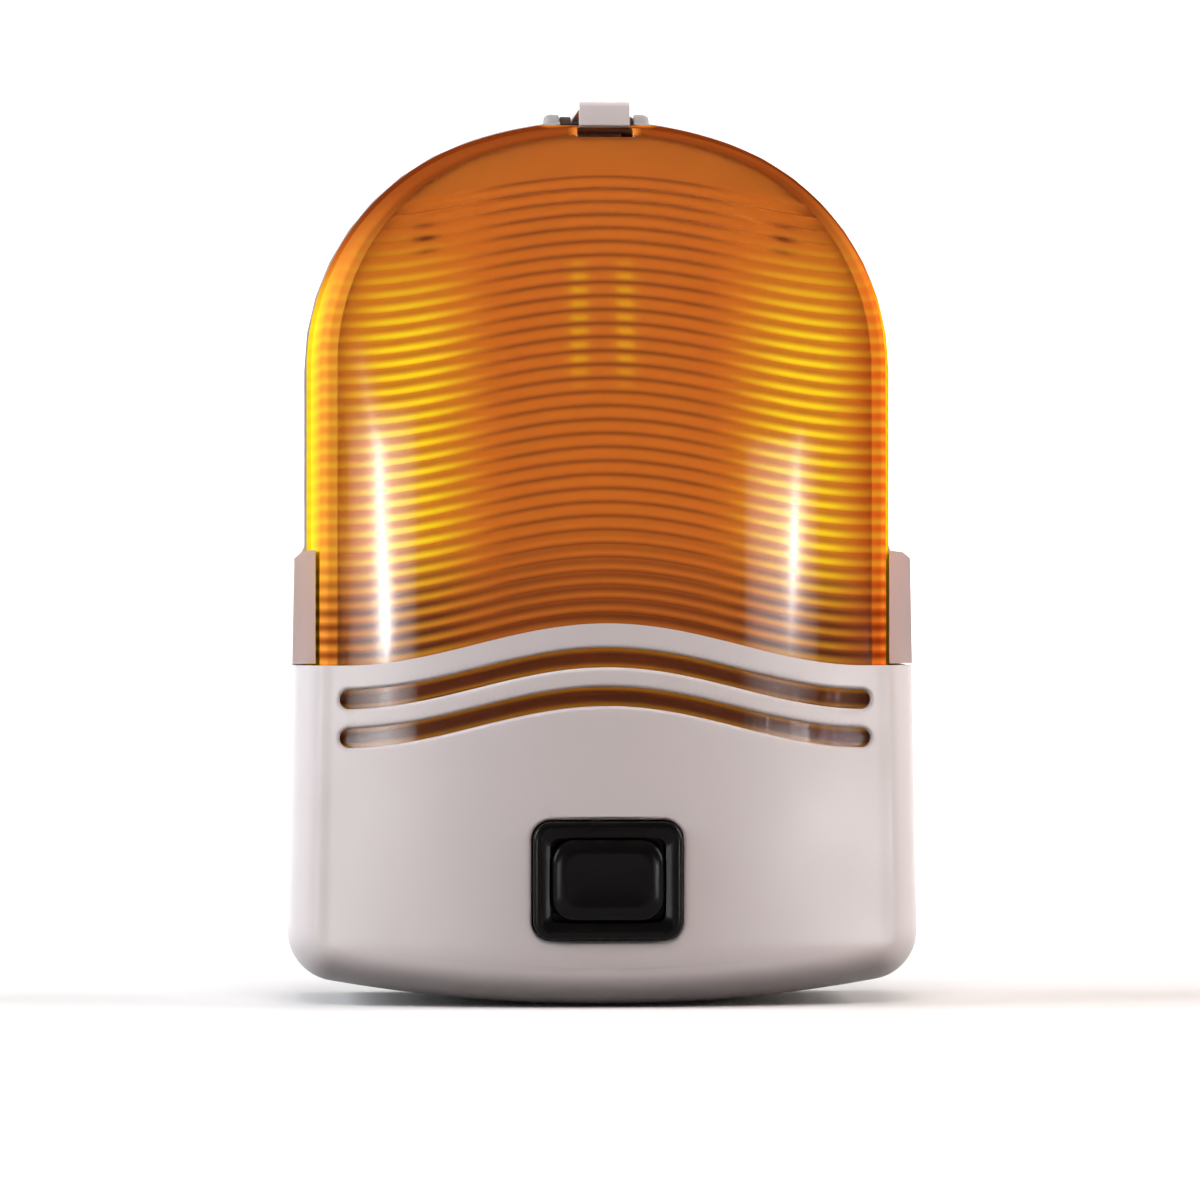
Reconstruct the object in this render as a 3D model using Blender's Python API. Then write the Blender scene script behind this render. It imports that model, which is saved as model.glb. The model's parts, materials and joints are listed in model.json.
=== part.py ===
"""Barricade warning light: an arched base, a wave-edged cover, a ribbed amber lens and a push switch.

Lengths are in millimetres and become metres when a mesh is made. The front faces -Y and +Z is up.
Heights are measured from the lowest point of the housing; the empty called light_frame carries every
piece and puts the origin on the rear mounting face, at half height.
"""
import math

import bmesh
import bpy
import numpy as np

MM = 0.001
GAP = 0.3

# Arched outline of the base
ORIGIN_HEIGHT = 97.0
ARCH_HALF_WIDTH = 64.6
ARCH_SPRING = 138.0
ARCH_TOP = 193.0
CROWN_RADIUS = 88.0

# Outline of the lower housing
BODY_HALF_WIDTH = 68.4
SHOULDER_HALF_WIDTH = 66.9
SHOULDER_HEIGHT = 97.0
CORNER_RADIUS = 11.0
BOTTOM_RADIUS = 370.0

# Depths, all measured forward from the rear face
BASE_DEPTH = 20.5
BASE_WALL = 2.5
REAR_ROUND = 2.0
COVER_FRONT = 64.5
COVER_WALL = 2.4
PLAN_RADIUS = 210.0
COVER_ROUND = (8.0, 12.0)
CHIN_HEIGHT = 14.0
CHIN_RADIUS = 30.0
CUT_FRONT = 72.0
SLOT_CUT_REAR = 48.0
OPENING_CUT_REAR = 54.0

# Wave of the cover edge, its slots and the ribs
WAVE_RISE = 9.1
WAVE_HALF_LENGTH = 56.6
COVER_EDGE = 73.0
SLOT_HEIGHTS = (65.7, 57.4)
SLOT_WIDTH = 4.2
SLOT_HALF_LENGTH = 57.2

# Lens
LENS_FRONT = 61.5
LENS_WALL = 1.5
LENS_ROUND = (1.8, 4.0)
LENS_DRAFT = 2.0
FLANGE_GAP = 0.5
FLANGE_WIDTH = 1.0
FLANGE_REAR = 22.3
FLANGE_THICKNESS = 1.8
FLANGE_NOTCH = 12.0
RIB_PITCH = 2.95
RIB_COUNT = 40
RIB_DEPTH = 0.7
FIRST_RIB = 179.0
TOP_RIB_RISE = 6.5
LEAN_START = 120.0
LEAN_RADIUS = 260.0

# Side wings, lugs and latch
WING_BOTTOM = COVER_EDGE + GAP
WING_DEPTH = 45.0
WING_STEP_DEPTH = 24.6
WING_ROOT = 64.5
WING_LIP = 63.7
WING_FRONT = 62.3
SHOULDER_FALL = 0.8
SHOULDER_RISE = 0.6
SHOULDER_STEP = 0.7
LATCH_PIN = (15.0, 191.6)
LATCH_PIN_RADIUS = 1.0
LUG_RADIUS = 2.3
LUG_INNER = 8.2
LUG_OUTER = 11.7
CLIP_HALF_WIDTH = 5.45
CLIP_TOP = 194.8
CLIP_REACH = 51.0
CLIP_THICKNESS = 1.6
CLIP_TIP = 189.2
CATCH_LOW = (-6.0, 48.0, 187.0)
CATCH_HIGH = (6.0, 60.0, 196.0)
CLIP_NOTCH = (9.0, 186.0)
PIN_HALF_LENGTH = 10.4
KNUCKLE_RADIUS = 2.1

# Switch
SWITCH_HEIGHT = 27.1
BEZEL_SIZE = (32.0, 25.2)
BEZEL_CORNER = 3.3
BEZEL_PROUD = 2.0
BEZEL_REAR = 57.0
PAD_SIZE = (24.0, 17.4)
PAD_CORNER = 4.8
PAD_PROUD = 3.1
BUTTON_TRAVEL = 2.5
SWITCH_BODY_SIZE = (27.0, 20.0)
SWITCH_BODY_REAR = 38.0
BEZEL_FLOOR = 2.0
STEM_RADIUS = 2.0
STEM_REAR = 53.0
STEM_HOLE_RADIUS = 5.0
BODY_WELL_RADIUS = 4.6
TERMINAL_X = 7.0
TERMINAL_SIZE = (4.8, 7.0, 0.8)

# Lamp, board and batteries
LAMP_DEPTH = 38.0
POST_RADIUS = 8.0
BOARD_HEIGHT = 66.5
BOARD_THICKNESS = 1.6
BOARD_SIZE = (106.0, 44.0)
BOARD_DEPTH = 27.0
POST_TOP = 128.0
POST_FOOT_RADIUS = 11.0
SOCKET_DEPTH = 9.0
BULB_BASE_RADIUS = 5.0
BULB_BASE_PROUD = 4.5
BULB_NECK_RADIUS = 3.6
BULB_RADIUS = 5.8
BULB_TOP = 160.0
CELL_RADIUS = 13.1
CELL_LENGTH = 50.0
CELL_BOTTOM = 11.2
CELL_DEPTH = 17.6
CELL_PITCH = 27.4
BOARD_SCREW_DEPTH = 9.0
CONTACT_SIZE = (10.0, 8.0, 0.5)
CRADLE_FLOOR = 1.6
REFLECTOR_DEPTH = 24.0
REFLECTOR_INSET = 7.0
REFLECTOR_EDGE = 3.0
REFLECTOR_FLOOR = 1.6
GASKET_INSETS = (0.7, 2.1)

# Fasteners and the captive nut
SCREW_PLACES = ((-61.0, 16.0), (61.0, 16.0), (-61.0, 44.0), (61.0, 44.0))
SCREW_RADIUS = 1.4
SCREW_HEAD_RADIUS = 3.0
SCREW_SEAT = 2.8
SCREW_TIP = 33.0
BOSS_HALF = 3.6
BOSS_MARGIN = 1.4
COVER_BOSS_FRONT = 38.0
COVER_PILOT_FRONT = 36.0
REFLECTOR_POST = (4.2, 3.2)
REFLECTOR_PILOT_REAR = 12.0
REFLECTOR_SCREWS = ((-38.6, 166.0), (38.6, 166.0), (-46.0, 84.0), (46.0, 84.0))
NUT_HEIGHT = 112.0
NUT_ACROSS_FLATS = 19.0
NUT_THICKNESS = 8.0
NUT_BORE_RADIUS = 5.6
BOLT_HOLE_RADIUS = 6.7
NUT_BOSS_RADIUS = 14.0
NUT_REAR = 5.0

for old in list(bpy.data.objects):
    bpy.data.objects.remove(old, do_unlink=True)


def material(name, colour, roughness, metallic=0.0):
    """Principled material of one colour."""
    made = bpy.data.materials.new(name)
    made.use_nodes = True
    shader = made.node_tree.nodes["Principled BSDF"]
    shader.inputs["Base Color"].default_value = (*colour, 1.0)
    shader.inputs["Roughness"].default_value = roughness
    shader.inputs["Metallic"].default_value = metallic
    made.diffuse_color = (*colour, 1.0)
    return made


SHELL_WHITE = material("shell_white", (0.70, 0.64, 0.62), 0.38)
AMBER = material("amber", (0.80, 0.30, 0.02), 0.12)
SWITCH_BLACK = material("switch_black", (0.012, 0.011, 0.011), 0.35)
STEEL = material("zinc_steel", (0.62, 0.62, 0.60), 0.35, 1.0)
BRASS = material("brass", (0.72, 0.52, 0.22), 0.35, 1.0)
CLEAR = material("clear_glass", (0.95, 0.95, 0.92), 0.05)
REFLECTOR_WHITE = material("reflector_white", (0.82, 0.80, 0.76), 0.3)
BOARD_GREEN = material("board_green", (0.05, 0.22, 0.09), 0.5)
CHIP_BLACK = material("chip_black", (0.02, 0.02, 0.02), 0.5)
CELL_JACKET = material("cell_jacket", (0.05, 0.06, 0.09), 0.4)
CRADLE_GREY = material("cradle_grey", (0.25, 0.25, 0.26), 0.55)
GASKET_BLACK = material("gasket_black", (0.02, 0.02, 0.02), 0.8)

light_frame = bpy.data.objects.new("light_frame", None)
bpy.context.scene.collection.objects.link(light_frame)
light_frame.location = (0.0, 0.0, -ORIGIN_HEIGHT * MM)


def joint_empty(name, place):
    """Empty on a joint's axis; place is (x, y, height)."""
    empty = bpy.data.objects.new(name, None)
    bpy.context.scene.collection.objects.link(empty)
    empty.parent = light_frame
    empty.location = [value * MM for value in place]
    return empty


def add_piece(name, points, faces, finish=None, carrier=light_frame, smooth_angle=35.0):
    """Closed mesh from points in millimetres; without a finish it is a hidden cutter."""
    offset = (0.0, 0.0, 0.0) if carrier is light_frame else carrier.location
    mesh = bpy.data.meshes.new(name)
    places = [[c * MM - o for c, o in zip(p, offset)] for p in points]
    mesh.from_pydata(places, [], faces)
    bm = bmesh.new()
    bm.from_mesh(mesh)
    bmesh.ops.remove_doubles(bm, verts=bm.verts, dist=1e-6)
    bmesh.ops.recalc_face_normals(bm, faces=bm.faces)
    bm.to_mesh(mesh)
    bm.free()
    piece = bpy.data.objects.new(name, mesh)
    bpy.context.scene.collection.objects.link(piece)
    piece.parent = carrier
    if finish is None:
        piece.hide_render = True
        piece.display_type = 'WIRE'
    else:
        mesh.materials.append(finish)
        mesh.shade_smooth()
        mesh.set_sharp_from_angle(angle=math.radians(smooth_angle))
    return piece


def combine(piece, tool, operation):
    """Boolean of a piece with a hidden tool."""
    step = piece.modifiers.new(tool.name, 'BOOLEAN')
    step.operation = operation
    step.object = tool
    step.solver = 'EXACT'


def cut(piece, tool):
    combine(piece, tool, 'DIFFERENCE')


def join(piece, tool):
    combine(piece, tool, 'UNION')


def loft(rings):
    """Points and faces of rings with equal counts, capped at both ends."""
    count = len(rings[0])
    points = [p for ring in rings for p in ring]
    faces = []
    for level in range(len(rings) - 1):
        low = level * count
        for k in range(count):
            after = (k + 1) % count
            faces.append((low + k, low + after, low + count + after, low + count + k))
    faces.append(tuple(range(count)))
    faces.append(tuple(range(len(points) - count, len(points))))
    return points, faces


def facing(outline, depth):
    """Put an (x, height) outline at a depth in front of the rear face."""
    return [(x, -depth, z) for x, z in outline]


def rounded_rectangle(width, height, radius, centre=(0.0, 0.0), steps=5):
    """Rectangle with round corners, as (a, b) pairs."""
    outline = []
    for quarter, (sx, sz) in enumerate(((1, 1), (-1, 1), (-1, -1), (1, -1))):
        for k in range(steps + 1):
            angle = math.pi / 2 * (quarter + k / steps)
            a = centre[0] + sx * (width / 2 - radius) + radius * math.cos(angle)
            b = centre[1] + sz * (height / 2 - radius) + radius * math.sin(angle)
            outline.append((a, b))
    return outline


def circle(radius, centre=(0.0, 0.0), sides=24):
    return [(centre[0] + radius * math.cos(math.tau * k / sides),
             centre[1] + radius * math.sin(math.tau * k / sides)) for k in range(sides)]


def forward_loft(outlines_and_depths):
    """Loft of outlines seen from the front."""
    return loft([facing(outline, depth) for outline, depth in outlines_and_depths])


def upright_loft(outlines_and_heights):
    """Loft of (x, depth) outlines along the height."""
    return loft([[(x, -d, z) for x, d in outline] for outline, z in outlines_and_heights])


def box(low, high):
    """Box between two (x, depth, height) corners."""
    outline = [(low[0], low[1]), (high[0], low[1]), (high[0], high[1]), (low[0], high[1])]
    return upright_loft([(outline, low[2]), (outline, high[2])])


def turned_forward(profile, centre, sides=20):
    """Turned solid about a line that runs front to back; profile is (radius, depth) pairs."""
    return forward_loft([(circle(r, centre, sides), d) for r, d in profile])


def turned_upright(profile, centre, sides=24):
    """Turned solid about an upright line; profile is (radius, height) pairs."""
    return upright_loft([(circle(r, centre, sides), z) for r, z in profile])


# Outlines that follow a formula of the inset from the outer edge
HAUNCH_RADIUS = ((CROWN_RADIUS ** 2 - ARCH_HALF_WIDTH ** 2 - (ARCH_SPRING - ARCH_TOP + CROWN_RADIUS) ** 2)
                 / (2 * (CROWN_RADIUS - ARCH_HALF_WIDTH)))
HAUNCH_X = ARCH_HALF_WIDTH - HAUNCH_RADIUS
CROWN_Z = ARCH_TOP - CROWN_RADIUS
HAUNCH_ANGLE = math.atan2(ARCH_SPRING - CROWN_Z, HAUNCH_X)


def arch_at_angle(inset, angle):
    """Right half of the arch: angle 0 at the spring line, a right angle at the crown."""
    if angle < HAUNCH_ANGLE:
        radius = HAUNCH_RADIUS - inset
        centre = (HAUNCH_X, ARCH_SPRING)
    else:
        radius = CROWN_RADIUS - inset
        centre = (0.0, CROWN_Z)
    return centre[0] + radius * math.cos(angle), centre[1] + radius * math.sin(angle)


def arch_at_height(inset, height):
    """Angle of the arch's normal at a height; below the spring line the side is upright."""
    if height <= ARCH_SPRING:
        return 0.0
    rise = (height - ARCH_SPRING) / (HAUNCH_RADIUS - inset)
    if rise < math.sin(HAUNCH_ANGLE):
        return math.asin(rise)
    return math.asin((height - CROWN_Z) / (CROWN_RADIUS - inset))


def corner_centre():
    across = BODY_HALF_WIDTH - CORNER_RADIUS
    return across, BOTTOM_RADIUS - math.sqrt((BOTTOM_RADIUS - CORNER_RADIUS) ** 2 - across ** 2)


CORNER_X, CORNER_Z = corner_centre()
CORNER_ANGLE = math.asin(CORNER_X / (BOTTOM_RADIUS - CORNER_RADIUS))


def side_at_height(inset, height):
    """Half-width of the lower housing's side, which tapers from the corner to the shoulder."""
    share = (height - CORNER_Z) / (SHOULDER_HEIGHT - CORNER_Z)
    return BODY_HALF_WIDTH + (SHOULDER_HALF_WIDTH - BODY_HALF_WIDTH) * share - inset


def bottom_at_angle(inset, angle):
    """Right half of the bottom: angle 0 at the side, a right angle straight down."""
    if angle < math.pi / 2 - CORNER_ANGLE:
        radius = CORNER_RADIUS - inset
        centre = (CORNER_X, CORNER_Z)
    else:
        radius = BOTTOM_RADIUS - inset
        centre = (0.0, BOTTOM_RADIUS)
    return centre[0] + radius * math.cos(angle), centre[1] - radius * math.sin(angle)


def bottom_angles():
    """Angles round the corner and along the shallow bottom arc, ending at the middle."""
    turn = math.pi / 2 - CORNER_ANGLE
    corner = [turn * k / 6 for k in range(7)]
    shallow = [turn + CORNER_ANGLE * k / 4 for k in range(1, 5)]
    return corner[:-1] + [turn - 1e-6] + shallow


def arch_angles():
    haunch = [HAUNCH_ANGLE * k / 8 for k in range(8)]
    crown = [HAUNCH_ANGLE + (math.pi / 2 - HAUNCH_ANGLE) * k / 8 for k in range(9)]
    return haunch + crown


def base_outline(inset):
    """Whole outline of the base, from the crown down the right side and back up the left."""
    right = [arch_at_angle(inset, a) for a in reversed(arch_angles())]
    right.append((ARCH_HALF_WIDTH - inset, SHOULDER_HEIGHT + 2.0))
    right.append((ARCH_HALF_WIDTH - inset + SHOULDER_STEP, SHOULDER_HEIGHT + SHOULDER_RISE - inset))
    right.append((side_at_height(inset, SHOULDER_HEIGHT), SHOULDER_HEIGHT - SHOULDER_FALL - inset))
    right += [bottom_at_angle(inset, a) for a in bottom_angles()]
    left = [(-x, z) for x, z in reversed(right[1:-1])]
    return right + left


def wave(x):
    """Cosine bell, 1 in the middle and flat beyond its half length."""
    return 0.5 + 0.5 * np.cos(np.pi * np.minimum(np.abs(x) / WAVE_HALF_LENGTH, 1.0))


def plan_fall(x):
    """How far a front that curves in plan falls back at a distance from the middle."""
    return x * x / (2 * PLAN_RADIUS)


def cover_front(x, z):
    chin = np.maximum(CHIN_HEIGHT - z, 0.0)
    return COVER_FRONT - plan_fall(x) - chin * chin / (2 * CHIN_RADIUS)


def lens_front(x, z):
    lean = np.maximum(z - LEAN_START, 0.0)
    return LENS_FRONT - plan_fall(x) - lean * lean / (2 * LEAN_RADIUS)


def hood_row(edge, rise, front, rim, wall, columns, relief=0.0):
    """One row of a hood: from the left rim, round the front and back to the right rim.

    edge is the front edge's (x, z, normal angle); rim lists (outward step, depth) of the rim's points;
    wall gives the rounding's (across, deep); the front rows rise in the middle by the wave.
    """
    x0, z0, angle = edge
    out_x, out_z = math.cos(angle), math.sin(angle)
    across, deep = wall
    half = []
    for step, depth in rim:
        half.append((x0 + step * out_x, depth, z0 + step * out_z))
    for turn in (0.0, 30.0, 60.0, 90.0):
        step = across * math.cos(math.radians(turn))
        x = x0 + step * out_x
        z = z0 + step * out_z
        depth = float(front(abs(x0), z0)) - deep * (1.0 - math.sin(math.radians(turn)))
        half.append((x, depth, z))
    shares = np.linspace(-1.0, 1.0, columns + 1)[1:-1]
    xs = shares * x0
    zs = z0 + rise * (wave(xs) - wave(x0))
    depths = front(xs, zs) - relief
    middle = list(zip(xs.tolist(), depths.tolist(), zs.tolist()))
    left = [(-x, -d, z) for x, d, z in half]
    right = [(x, -d, z) for x, d, z in reversed(half)]
    return left + [(x, -d, z) for x, d, z in middle] + right


def hood(outer_rows, inner_rows, levels, outer_rim, inner_rim):
    """Closed hood from an outer and an inner skin; levels lists the inner row behind each outer row."""
    points = []
    faces = []
    starts = []
    for rows in (outer_rows, inner_rows):
        begin = []
        for row in rows:
            begin.append(len(points))
            points.extend(row)
        starts.append(begin)
        for low, high in zip(begin[:-1], begin[1:]):
            for k in range(len(rows[0]) - 1):
                faces.append((low + k, low + k + 1, high + k + 1, high + k))
    outer, inner = starts
    last_out = len(outer_rows[0]) - 1
    last_in = len(inner_rows[0]) - 1
    for j in range(len(outer) - 1):
        span = inner[levels[j]:levels[j + 1] + 1]
        faces.append([outer[j], outer[j + 1]] + list(reversed(span)))
        end = [s + last_in for s in reversed(span)]
        faces.append([outer[j] + last_out, outer[j + 1] + last_out] + end)
    lip_out = list(range(outer_rim + 1))
    lip_in = list(range(inner_rim + 1))
    for side in (1, -1):
        base_o = outer[0] if side == 1 else outer[0] + last_out
        base_i = inner[0] if side == 1 else inner[0] + last_in
        back = [base_i + side * k for k in reversed(lip_in)]
        faces.append([base_o + side * k for k in lip_out] + back)
    for k in range(last_out - 2 * outer_rim):
        o = outer[0] + outer_rim + k
        i = inner[0] + inner_rim + k
        faces.append((o, o + 1, i + 1, i))
    return points, faces


# Lens: ribbed amber hood, open at the rear and at the bottom
HOOD_INSET = FLANGE_GAP + FLANGE_WIDTH
LENS_EDGE = HOOD_INSET + LENS_DRAFT + LENS_ROUND[0]


def lens_edges():
    """Front edge points of the rows, half a rib apart, then the smooth cap up to the crown."""
    edges = []
    half_steps = 2 * RIB_COUNT
    for k in range(half_steps, -1, -1):
        share = k / half_steps
        rise = TOP_RIB_RISE + (WAVE_RISE - TOP_RIB_RISE) * share
        height = FIRST_RIB - k * RIB_PITCH / 2 - rise
        angle = arch_at_height(LENS_EDGE, height)
        x, z = arch_at_angle(LENS_EDGE, angle)
        edges.append((x, height if angle == 0.0 else z, angle, rise))
    first = edges[-1][2]
    cap_rows = 8
    for k in range(1, cap_rows + 1):
        angle = first + (math.pi / 2 - first) * k / cap_rows
        x, z = arch_at_angle(LENS_EDGE, angle)
        edges.append((x if k < cap_rows else 0.0, z, angle, TOP_RIB_RISE * (1 - k / cap_rows) ** 2))
    return edges


def make_lens(carrier):
    columns = 12
    edges = lens_edges()
    upright = sum(angle == 0.0 for _, _, angle, _ in edges)
    half_ribs = 2 * RIB_COUNT
    levels = [*range(0, upright, 8), *range(upright, half_ribs, 3), *range(half_ribs, len(edges))]
    step_out = LENS_EDGE - FLANGE_GAP
    step_hood = LENS_EDGE - HOOD_INSET
    flange_front = FLANGE_REAR + FLANGE_THICKNESS
    outer_rim = ((step_out, FLANGE_REAR), (step_out, flange_front), (step_hood, flange_front))
    inner_rim = ((step_hood - LENS_WALL, FLANGE_REAR),)
    inner_round = (LENS_ROUND[0] - LENS_WALL, LENS_ROUND[1] - LENS_WALL)
    outer = []
    inner = []
    for j, (x, z, angle, rise) in enumerate(edges):
        ribbed = 0 < j <= half_ribs
        relief = RIB_DEPTH if ribbed and j % 2 == 0 else 0.0
        if j in levels:
            outer.append(hood_row((x, z, angle), rise, lens_front, outer_rim, LENS_ROUND, columns))
        inner.append(hood_row((x, z, angle), rise, lambda a, b: lens_front(a, b) - LENS_WALL, inner_rim,
                              inner_round, columns, relief))
    points, faces = hood(outer, inner, levels, 3, 1)
    lens = add_piece("lens", points, faces, AMBER, carrier, 25.0)
    low = (-FLANGE_NOTCH, FLANGE_REAR - 1, ARCH_TOP - HOOD_INSET + 0.1)
    high = (FLANGE_NOTCH, flange_front + 0.6, ARCH_TOP + 4)
    cut(lens, add_piece("lens_notch", *box(low, high), carrier=carrier))
    cut(lens, add_piece("catch_notch", *box(CATCH_LOW, CATCH_HIGH), carrier=carrier))


# Front cover: lower shell with the wave edge, two wave slots and the switch opening
def slot_outline(height, length, width):
    """Wave-shaped slot with round ends, as (x, z) pairs."""
    reach = length - width / 2
    xs = np.linspace(-reach, reach, 33)
    middle = height + WAVE_RISE * wave(xs)
    top = list(zip(xs.tolist(), (middle + width / 2).tolist()))
    under = list(zip(xs[::-1].tolist(), (middle[::-1] - width / 2).tolist()))
    turns = [math.pi / 2 - math.pi * k / 6 for k in range(1, 6)]
    right = [(reach + width / 2 * math.cos(a), height + width / 2 * math.sin(a)) for a in turns]
    left = [(-x, 2 * height - z) for x, z in right]
    return top + right + under + left


def boss_span(x):
    """Left and right of a screw boss, which runs from beside its screw into the housing's wall."""
    side = 1 if x > 0 else -1
    return sorted((x - side * BOSS_HALF, side * (BODY_HALF_WIDTH - BOSS_MARGIN)))


def cover_rows(inset, rounding, front):
    """Rows of the cover from the wave edge down the sides, round the corners and along the bottom."""
    edge_inset = inset + rounding[0]
    edges = []
    side_rows = 9
    for k in range(side_rows):
        share = k / side_rows
        height = COVER_EDGE + (CORNER_Z - COVER_EDGE) * share
        edges.append((side_at_height(edge_inset, height), height, 0.0, WAVE_RISE * (1 - share) ** 1.5))
    for angle in bottom_angles():
        x, z = bottom_at_angle(edge_inset, angle)
        edges.append((x, z, -angle, 0.0))
    edges[-1] = (0.0, edges[-1][1], edges[-1][2], 0.0)
    rim = ((rounding[0], BASE_DEPTH + GAP),)
    columns = 14
    return [hood_row((x, z, angle), rise, front, rim, rounding, columns) for x, z, angle, rise in edges]


def make_front_cover():
    inner_round = (COVER_ROUND[0] - COVER_WALL, COVER_ROUND[1] - COVER_WALL)
    outer = cover_rows(0.0, COVER_ROUND, cover_front)
    inner = cover_rows(COVER_WALL, inner_round, lambda x, z: cover_front(x, z) - COVER_WALL)
    points, faces = hood(outer, inner, range(len(outer)), 1, 1)
    cover = add_piece("front_cover", points, faces, SHELL_WHITE)
    for place, (x, z) in enumerate(SCREW_PLACES, 1):
        near, far = boss_span(x)
        low = (near, BASE_DEPTH + 2 * GAP, z - BOSS_HALF)
        join(cover, add_piece(f"cover_boss_{place}", *box(low, (far, COVER_BOSS_FRONT, z + BOSS_HALF))))
        shank = SCREW_RADIUS + GAP
        pilot = turned_forward(((shank, BASE_DEPTH), (shank, COVER_PILOT_FRONT)), (x, z), 12)
        cut(cover, add_piece(f"cover_pilot_{place}", *pilot))
    for place, height in enumerate(SLOT_HEIGHTS, 1):
        outline = slot_outline(height, SLOT_HALF_LENGTH, SLOT_WIDTH)
        slot = forward_loft([(outline, SLOT_CUT_REAR), (outline, CUT_FRONT)])
        cut(cover, add_piece(f"slot_cutter_{place}", *slot))
    opening = rounded_rectangle(BEZEL_SIZE[0] + 2 * GAP, BEZEL_SIZE[1] + 2 * GAP, BEZEL_CORNER + GAP,
                                (0.0, SWITCH_HEIGHT))
    cutter = forward_loft([(opening, OPENING_CUT_REAR), (opening, CUT_FRONT)])
    cut(cover, add_piece("switch_opening", *cutter))
    return cover


# Base: arched tub with wings, lugs, bosses and the boss of the captive nut
def make_wing(base, side, name):
    """Wing beside the lens, stepped inward in front of the flange to guide it, and the latch lug above it."""
    def outline(root):
        right = [(root, WING_BOTTOM), (side_at_height(0, WING_BOTTOM), WING_BOTTOM),
                 (side_at_height(0, SHOULDER_HEIGHT), SHOULDER_HEIGHT - SHOULDER_FALL),
                 (ARCH_HALF_WIDTH + SHOULDER_STEP, SHOULDER_HEIGHT + SHOULDER_RISE),
                 (root, SHOULDER_HEIGHT + SHOULDER_RISE + GAP)]
        return [(side * x, z) for x, z in right]
    steps = ((WING_ROOT, BASE_DEPTH - 5), (WING_ROOT, WING_STEP_DEPTH), (WING_LIP, WING_STEP_DEPTH + 0.4),
             (WING_FRONT, WING_DEPTH))
    wing = forward_loft([(outline(root), depth) for root, depth in steps])
    join(base, add_piece(f"wing_{name}", *wing))
    lug = [across_circle(side * x, LUG_RADIUS) for x in (LUG_INNER, LUG_OUTER)]
    join(base, add_piece(f"lug_{name}", *loft(lug)))


def across_circle(x, radius):
    """Circle about the latch pin's line, at a distance from the middle."""
    return [(x, -d, z) for d, z in circle(radius, LATCH_PIN, 16)]


def make_base():
    rings = []
    for step, depth in ((REAR_ROUND, 0.0), (REAR_ROUND * 0.3, REAR_ROUND * 0.3), (0.0, REAR_ROUND),
                        (0.0, BASE_DEPTH), (BASE_WALL, BASE_DEPTH), (BASE_WALL, BASE_WALL)):
        rings.append((base_outline(step), depth))
    base = add_piece("base", *forward_loft(rings), SHELL_WHITE)
    for side, name in ((1, "right"), (-1, "left")):
        make_wing(base, side, name)
    notch_rear, notch_floor = CLIP_NOTCH
    cut(base, add_piece("clip_notch", *box((-LUG_INNER, notch_rear, notch_floor),
                                           (LUG_INNER, BASE_DEPTH + 1, ARCH_TOP + 2))))
    for place, (x, z) in enumerate(SCREW_PLACES, 1):
        near, far = boss_span(x)
        low = (near, BASE_WALL - 1, z - BOSS_HALF)
        join(base, add_piece(f"base_boss_{place}", *box(low, (far, BASE_DEPTH - 0.5, z + BOSS_HALF))))
        head = SCREW_HEAD_RADIUS + GAP
        shank = SCREW_RADIUS + GAP
        bore = ((head, -1.0), (head, SCREW_SEAT), (shank, SCREW_SEAT), (shank, BASE_DEPTH + 1))
        cut(base, add_piece(f"base_bore_{place}", *turned_forward(bore, (x, z), 16)))
    for place, (x, z) in enumerate(REFLECTOR_SCREWS, 1):
        foot, tip = REFLECTOR_POST
        post = turned_forward(((foot, BASE_WALL - 1), (tip, REFLECTOR_DEPTH - GAP)), (x, z), 14)
        join(base, add_piece(f"reflector_post_{place}", *post))
        shank = SCREW_RADIUS + GAP
        pilot = turned_forward(((shank, REFLECTOR_PILOT_REAR), (shank, REFLECTOR_DEPTH + 1)), (x, z), 12)
        cut(base, add_piece(f"reflector_pilot_{place}", *pilot))
    centre = (0.0, NUT_HEIGHT)
    join(base, add_piece("nut_boss", *turned_forward(
        ((NUT_BOSS_RADIUS, BASE_WALL - 1), (NUT_BOSS_RADIUS - 0.6, NUT_REAR + NUT_THICKNESS)), centre, 32)))
    pocket = circle((NUT_ACROSS_FLATS / 2 + GAP) / math.cos(math.pi / 6), centre, 6)
    pocket_front = NUT_REAR + NUT_THICKNESS + 5
    cut(base, add_piece("nut_pocket", *forward_loft([(pocket, NUT_REAR), (pocket, pocket_front)])))
    cut(base, add_piece("bolt_hole", *turned_forward(
        ((BOLT_HOLE_RADIUS, -1.0), (BOLT_HOLE_RADIUS, NUT_REAR + 1)), centre, 24)))
    reach = PIN_HALF_LENGTH + GAP
    pin_hole = [across_circle(x, LATCH_PIN_RADIUS + GAP) for x in (-reach, reach)]
    cut(base, add_piece("latch_pin_hole", *loft(pin_hole)))
    return base


def make_gasket():
    """Foam strip between the base's rim and the lens flange, round the arch only."""
    def path(inset):
        right = [(ARCH_HALF_WIDTH - inset, SHOULDER_HEIGHT + 3.0)]
        right += [arch_at_angle(inset, a) for a in arch_angles()]
        return right + [(-x, z) for x, z in reversed(right[:-1])]
    outer, inner = GASKET_INSETS
    outline = path(outer) + path(inner)[::-1]
    strip = forward_loft([(outline, BASE_DEPTH + GAP), (outline, FLANGE_REAR - GAP)])
    add_piece("lens_gasket", *strip, GASKET_BLACK)


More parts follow.
